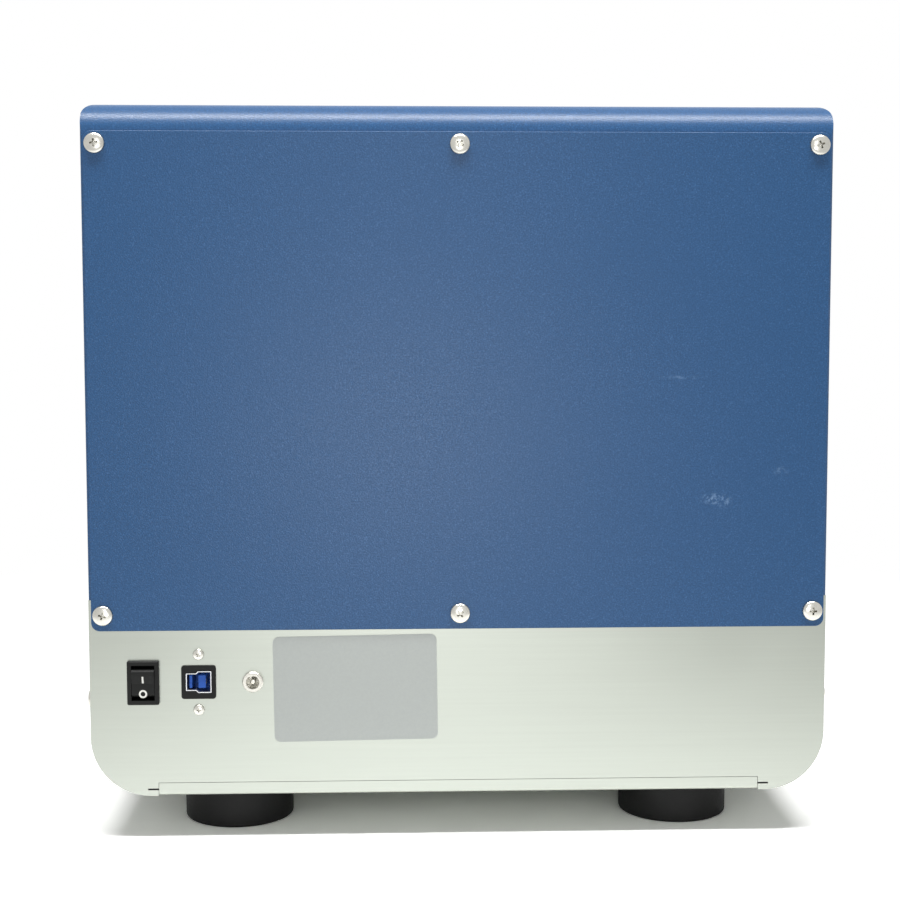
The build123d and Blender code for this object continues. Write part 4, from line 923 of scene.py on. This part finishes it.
@dataclass
class PowerSwitch:
    """The rocker switch with its two printed signs."""

    centre: Vector = field(default_factory=lambda: Vector((0.1498, 0.1949, 0.0761)))
    tilt: float = 8.0
    valley: float = 2.9 * MM
    ink: float = 0.06 * MM
    line_width: float = 0.85 * MM
    bar_height: float = 3.5 * MM
    bar_up: float = 2.2 * MM
    ring_radius: float = 1.95 * MM
    ring_down: float = 4.75 * MM

    def face_place(self, along: float) -> Matrix:
        """A place on the rocker's face, its local Y up the face and its local Z out of it.

        Args:
            along: Distance from the valley, up if positive and down if negative.

        Returns:
            The placing matrix.
        """
        lean = math.copysign(self.tilt, along)
        face = Matrix.Rotation(math.radians(-lean), 4, "X") @ Matrix.Translation((0, 0, along))
        rocker = Matrix.Translation(self.centre) @ Matrix.Rotation(math.radians(-self.tilt), 4, "X")
        stand = Matrix.Rotation(math.radians(-90), 4, "X") @ Matrix.Rotation(math.pi, 4, "Z")
        return rocker @ Matrix.Translation((0, self.valley, 0)) @ face @ stand

    def build(self) -> None:
        """Dresses the switch and prints its signs."""
        dress(BLACK_NYLON, ("switch_housing", "switch_rocker"))
        dress(TINNED, ("switch_lugs",))
        bar = block((self.line_width, self.bar_height, self.ink), self.line_width * 0.25)
        bmesh.ops.transform(bar, matrix=self.face_place(self.bar_up), verts=bar.verts)
        inner = self.ring_radius - self.line_width
        half = self.ink / 2
        outer = self.ring_radius
        ring = turned([(inner, half), (outer, half), (outer, -half), (inner, -half), (inner, half)])
        bmesh.ops.transform(ring, matrix=self.face_place(-self.ring_down), verts=ring.verts)
        finished("switch_signs", joined([bar, ring]), WHITE_INK, Body.ROCKER)


@dataclass
class RearSockets:
    """The USB socket and the DC inlet."""

    usb_centre: tuple[float, float] = (0.1238, 0.0761)
    screw_spacing: float = 26.5 * MM
    tongue_shift: float = -1.5 * MM
    tongue_width: float = 3.4 * MM
    contact_width: float = 0.5 * MM
    contact_thickness: float = 0.12 * MM
    contact_count: int = 2
    contact_pitch: float = 1.6 * MM
    contact_gap: float = 4.0 * MM
    contact_shift: float = 1.4 * MM
    contact_rounding: float = 0.03 * MM

    def screw_places(self) -> list[Matrix]:
        """Where the two small screws stand above and below the socket.

        Returns:
            A placing matrix for each screw.
        """
        x, z = self.usb_centre
        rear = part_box("base_rear_panel")[1][1]
        out = Matrix.Rotation(math.radians(-90), 4, "X")
        return [
            Matrix.Translation((x, rear, z + side * self.screw_spacing / 2)) @ out for side in (-1, 1)
        ]

    def contacts(self) -> bmesh.types.BMesh:
        """Gold strips along both sides of the main tongue.

        Returns:
            All the strips in one bmesh.
        """
        low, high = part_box("usb_insulator")
        x, z = self.usb_centre
        strips = []
        for side in (-1, 1):
            face = x + self.tongue_shift + side * self.tongue_width / 2
            for number in range(self.contact_count):
                size = (self.contact_thickness, high[1] - low[1] - self.contact_gap, self.contact_width)
                strip = block(size, self.contact_rounding)
                height = z + (number - (self.contact_count - 1) / 2) * self.contact_pitch
                spot = Matrix.Translation((face, (low[1] + high[1]) / 2 + self.contact_shift, height))
                bmesh.ops.transform(strip, matrix=spot, verts=strip.verts)
                strips.append(strip)
        return joined(strips)

    def build(self) -> None:
        """Dresses the sockets and makes their contacts and screws."""
        dress(BLACK_NYLON, ("usb_mount",))
        dress(SHELL_NICKEL, ("usb_shell",))
        dress(BLUE_NYLON, ("usb_insulator",))
        dress(NICKEL, ("dc_jack_body", "dc_jack_nut", "dc_jack_pin"))
        finished("usb_contacts", self.contacts(), GOLD, Body.CASE)
        PanScrews(
            "usb_mount_screws",
            "usb_screws",
            self.screw_places(),
            head_radius=2.6 * MM,
            head_height=1.6 * MM,
            shank_radius=1.5 * MM,
            shank_length=6.0 * MM,
            turn=61.0,
        ).build()


@dataclass
class DrawerUnit:
    """The motor drawer that carries the well plate."""

    def build(self) -> None:
        """Dresses the drawer, its drive and its rails."""
        dress(SATIN_BASE, ("drawer_front",))
        dress(MACHINED, ("drawer_tray", "stage_deck", "deck_columns"))
        dress(ACETAL, ("drawer_rack",))
        dress(GROUND, ("drawer_rails", "drawer_blocks", "drawer_pinion"))
        dress(MOTOR_PAINT, ("drawer_motor",))


@dataclass
class ScanningOptics:
    """The two scanning stages and what rides on them."""

    def build(self) -> None:
        """Dresses the stages, the lamp, the camera and the filter wheel."""
        dress(MACHINED, ("optics_base_plate", "y_carriage", "x_carriage"))
        dress(GROUND, ("y_rails", "y_blocks", "x_rails", "x_blocks", "y_lead_screw", "x_lead_screw"))
        dress(ACETAL, ("y_nut", "x_nut"))
        dress(MOTOR_PAINT, ("y_motor", "x_motor", "optics_motors"))
        dress(
            ANODISED,
            (
                "lamp_arm", "lamp_housing", "camera", "optics_block", "excitation_lamps", "focus_plate",
                "filter_wheel",
            ),
        )
        dress(OBJECTIVE, ("objective",))
        dress(LENS, ("lamp_lens", "filters", "status_lamp_lens"))


@dataclass
class ControlBoard:
    """The control board under the optics."""

    def build(self) -> None:
        """Dresses the board and its parts."""
        dress(LAMINATE, ("control_board",))
        dress(CHIP, ("board_components",))


@dataclass(frozen=True)
class SoftBox:
    """A square soft light."""

    name: str
    place: Place
    aim: Place
    width: float
    height: float
    power: float

    def build(self) -> None:
        """Hangs the light and turns it to its aim."""
        lamp = bpy.data.lights.new(self.name, "AREA")
        lamp.shape, lamp.size, lamp.size_y, lamp.energy = "RECTANGLE", self.width, self.height, self.power
        hung = bpy.data.objects.new(self.name, lamp)
        hung.location = self.place
        hung.rotation_euler = (Vector(self.aim) - Vector(self.place)).to_track_quat("-Z", "Y").to_euler()
        bpy.context.scene.collection.objects.link(hung)


@dataclass
class Studio:
    """The white table, the soft lights and the camera of the photograph."""

    camera_place: Vector = field(default_factory=lambda: Vector((0.0303, 0.9366, 0.2436)))
    focal_length: float = 63.2
    pitch: float = 4.46
    yaw: float = -1.98
    roll: float = -0.06
    world_level: float = 0.25
    table_half: float = 6.0
    table_colour: Colour = (0.86, 0.86, 0.85)
    table_seen_colour: Colour = (1.5, 1.5, 1.49)
    white_from: float = 0.32
    white_to: float = 0.75
    lights: tuple[SoftBox, ...] = (
        SoftBox("overhead_strip", (0.0, 0.5, 1.5), (0.0, 0.2, 0.3), 1.2, 0.26, 30.0),
        SoftBox("rear_softbox", (0.02, 1.9, 0.72), (0.0, 0.2, 0.3), 0.5, 0.3, 2.0),
        SoftBox("low_softbox", (0.02, 1.5, 0.11), (0.0, 0.2, 0.08), 0.3, 0.15, 2.3),
    )

    def seen(self, wiring: Wiring) -> Socket:
        """Tells the rays that show the background, directly, in gloss or through glass.

        Args:
            wiring: The nodes of the world or of the table's material.

        Returns:
            1 for such a ray and 0 for any other.
        """
        path = wiring.add("ShaderNodeLightPath")
        shown = wiring.maths("MAXIMUM", path.outputs["Is Camera Ray"], path.outputs["Is Glossy Ray"])
        return wiring.maths("MAXIMUM", shown, path.outputs["Is Transmission Ray"])

    def table(self) -> None:
        """Lays the white table top, which keeps the shadow and turns to plain white further out."""
        mesh = bmesh.new()
        bmesh.ops.create_grid(mesh, x_segments=4, y_segments=4, size=self.table_half)
        data = bpy.data.meshes.new("table_top")
        mesh.to_mesh(data)
        mesh.free()
        top = bpy.data.objects.new("table_top", data)
        bpy.context.scene.collection.objects.link(top)
        made = bpy.data.materials.new("white_table")
        made.use_nodes = True
        made.node_tree.nodes.clear()
        wiring = Wiring(made.node_tree)
        place = wiring.add("ShaderNodeTexCoord").outputs["Object"]
        distance = wiring.add("ShaderNodeVectorMath", {0: place}, operation="LENGTH").outputs["Value"]
        far = wiring.remap(distance, self.white_from, self.white_to, 0.0, 1.0)
        seen = self.seen(wiring)
        lit = wiring.add("ShaderNodeBsdfDiffuse", {"Color": (*self.table_colour, 1.0)})
        bright = wiring.add("ShaderNodeBsdfDiffuse", {"Color": (*self.table_seen_colour, 1.0)})
        near = wiring.add("ShaderNodeMixShader", {0: seen, 1: lit.outputs[0], 2: bright.outputs[0]})
        white = wiring.add("ShaderNodeEmission", {"Color": (1, 1, 1, 1), "Strength": 1.0})
        share = wiring.maths("MULTIPLY", far, seen)
        whole = wiring.add("ShaderNodeMixShader", {0: share, 1: near.outputs[0], 2: white.outputs[0]})
        wiring.add("ShaderNodeOutputMaterial", {"Surface": whole.outputs[0]})
        data.materials.append(made)

    def surroundings(self) -> None:
        """Makes the world white where it is seen, and a plain soft light elsewhere."""
        world = bpy.data.worlds.new("white_room")
        world.use_nodes = True
        world.node_tree.nodes.clear()
        wiring = Wiring(world.node_tree)
        seen = self.seen(wiring)
        level = wiring.maths("MULTIPLY_ADD", seen, 1.0 - self.world_level, self.world_level)
        sky = wiring.add("ShaderNodeBackground", {"Color": (1, 1, 1, 1), "Strength": level})
        wiring.add("ShaderNodeOutputWorld", {"Surface": sky.outputs[0]})
        bpy.context.scene.world = world

    def camera(self) -> None:
        """Sets the camera where the photograph was taken."""
        view = bpy.data.cameras.new("photo_camera")
        view.lens, view.sensor_width = self.focal_length, 36.0
        camera = bpy.data.objects.new("photo_camera", view)
        pitch, yaw, roll = (math.radians(a) for a in (self.pitch, self.yaw, self.roll))
        turn = (
            Matrix.Rotation(math.pi + yaw, 4, "Z")
            @ Matrix.Rotation(math.pi / 2 - pitch, 4, "X")
            @ Matrix.Rotation(roll, 4, "Z")
        )
        camera.matrix_world = Matrix.Translation(self.camera_place) @ turn
        bpy.context.scene.collection.objects.link(camera)
        bpy.context.scene.camera = camera

    def build(self) -> None:
        """Sets up the whole studio."""
        self.table()
        self.surroundings()
        for light in self.lights:
            light.build()
        self.camera()
        bpy.context.scene.view_settings.view_transform = "Standard"


def corners(box: Sequence[Sequence[float]]) -> list[list[float]]:
    """A box's two corners as plain lists of numbers."""
    return [[float(value) for value in corner] for corner in box]


def main() -> None:
    """Builds the instrument's classes in order."""
    logging.basicConfig(level=logging.INFO, format="%(name)s: %(message)s")
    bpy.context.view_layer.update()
    for unit in (
        Housing(), PowerSwitch(), RearSockets(), DrawerUnit(), ScanningOptics(), ControlBoard(), Studio()
    ):
        unit.build()
        log.info("%s is done", type(unit).__name__)


if __name__ == "__main__":
    main()
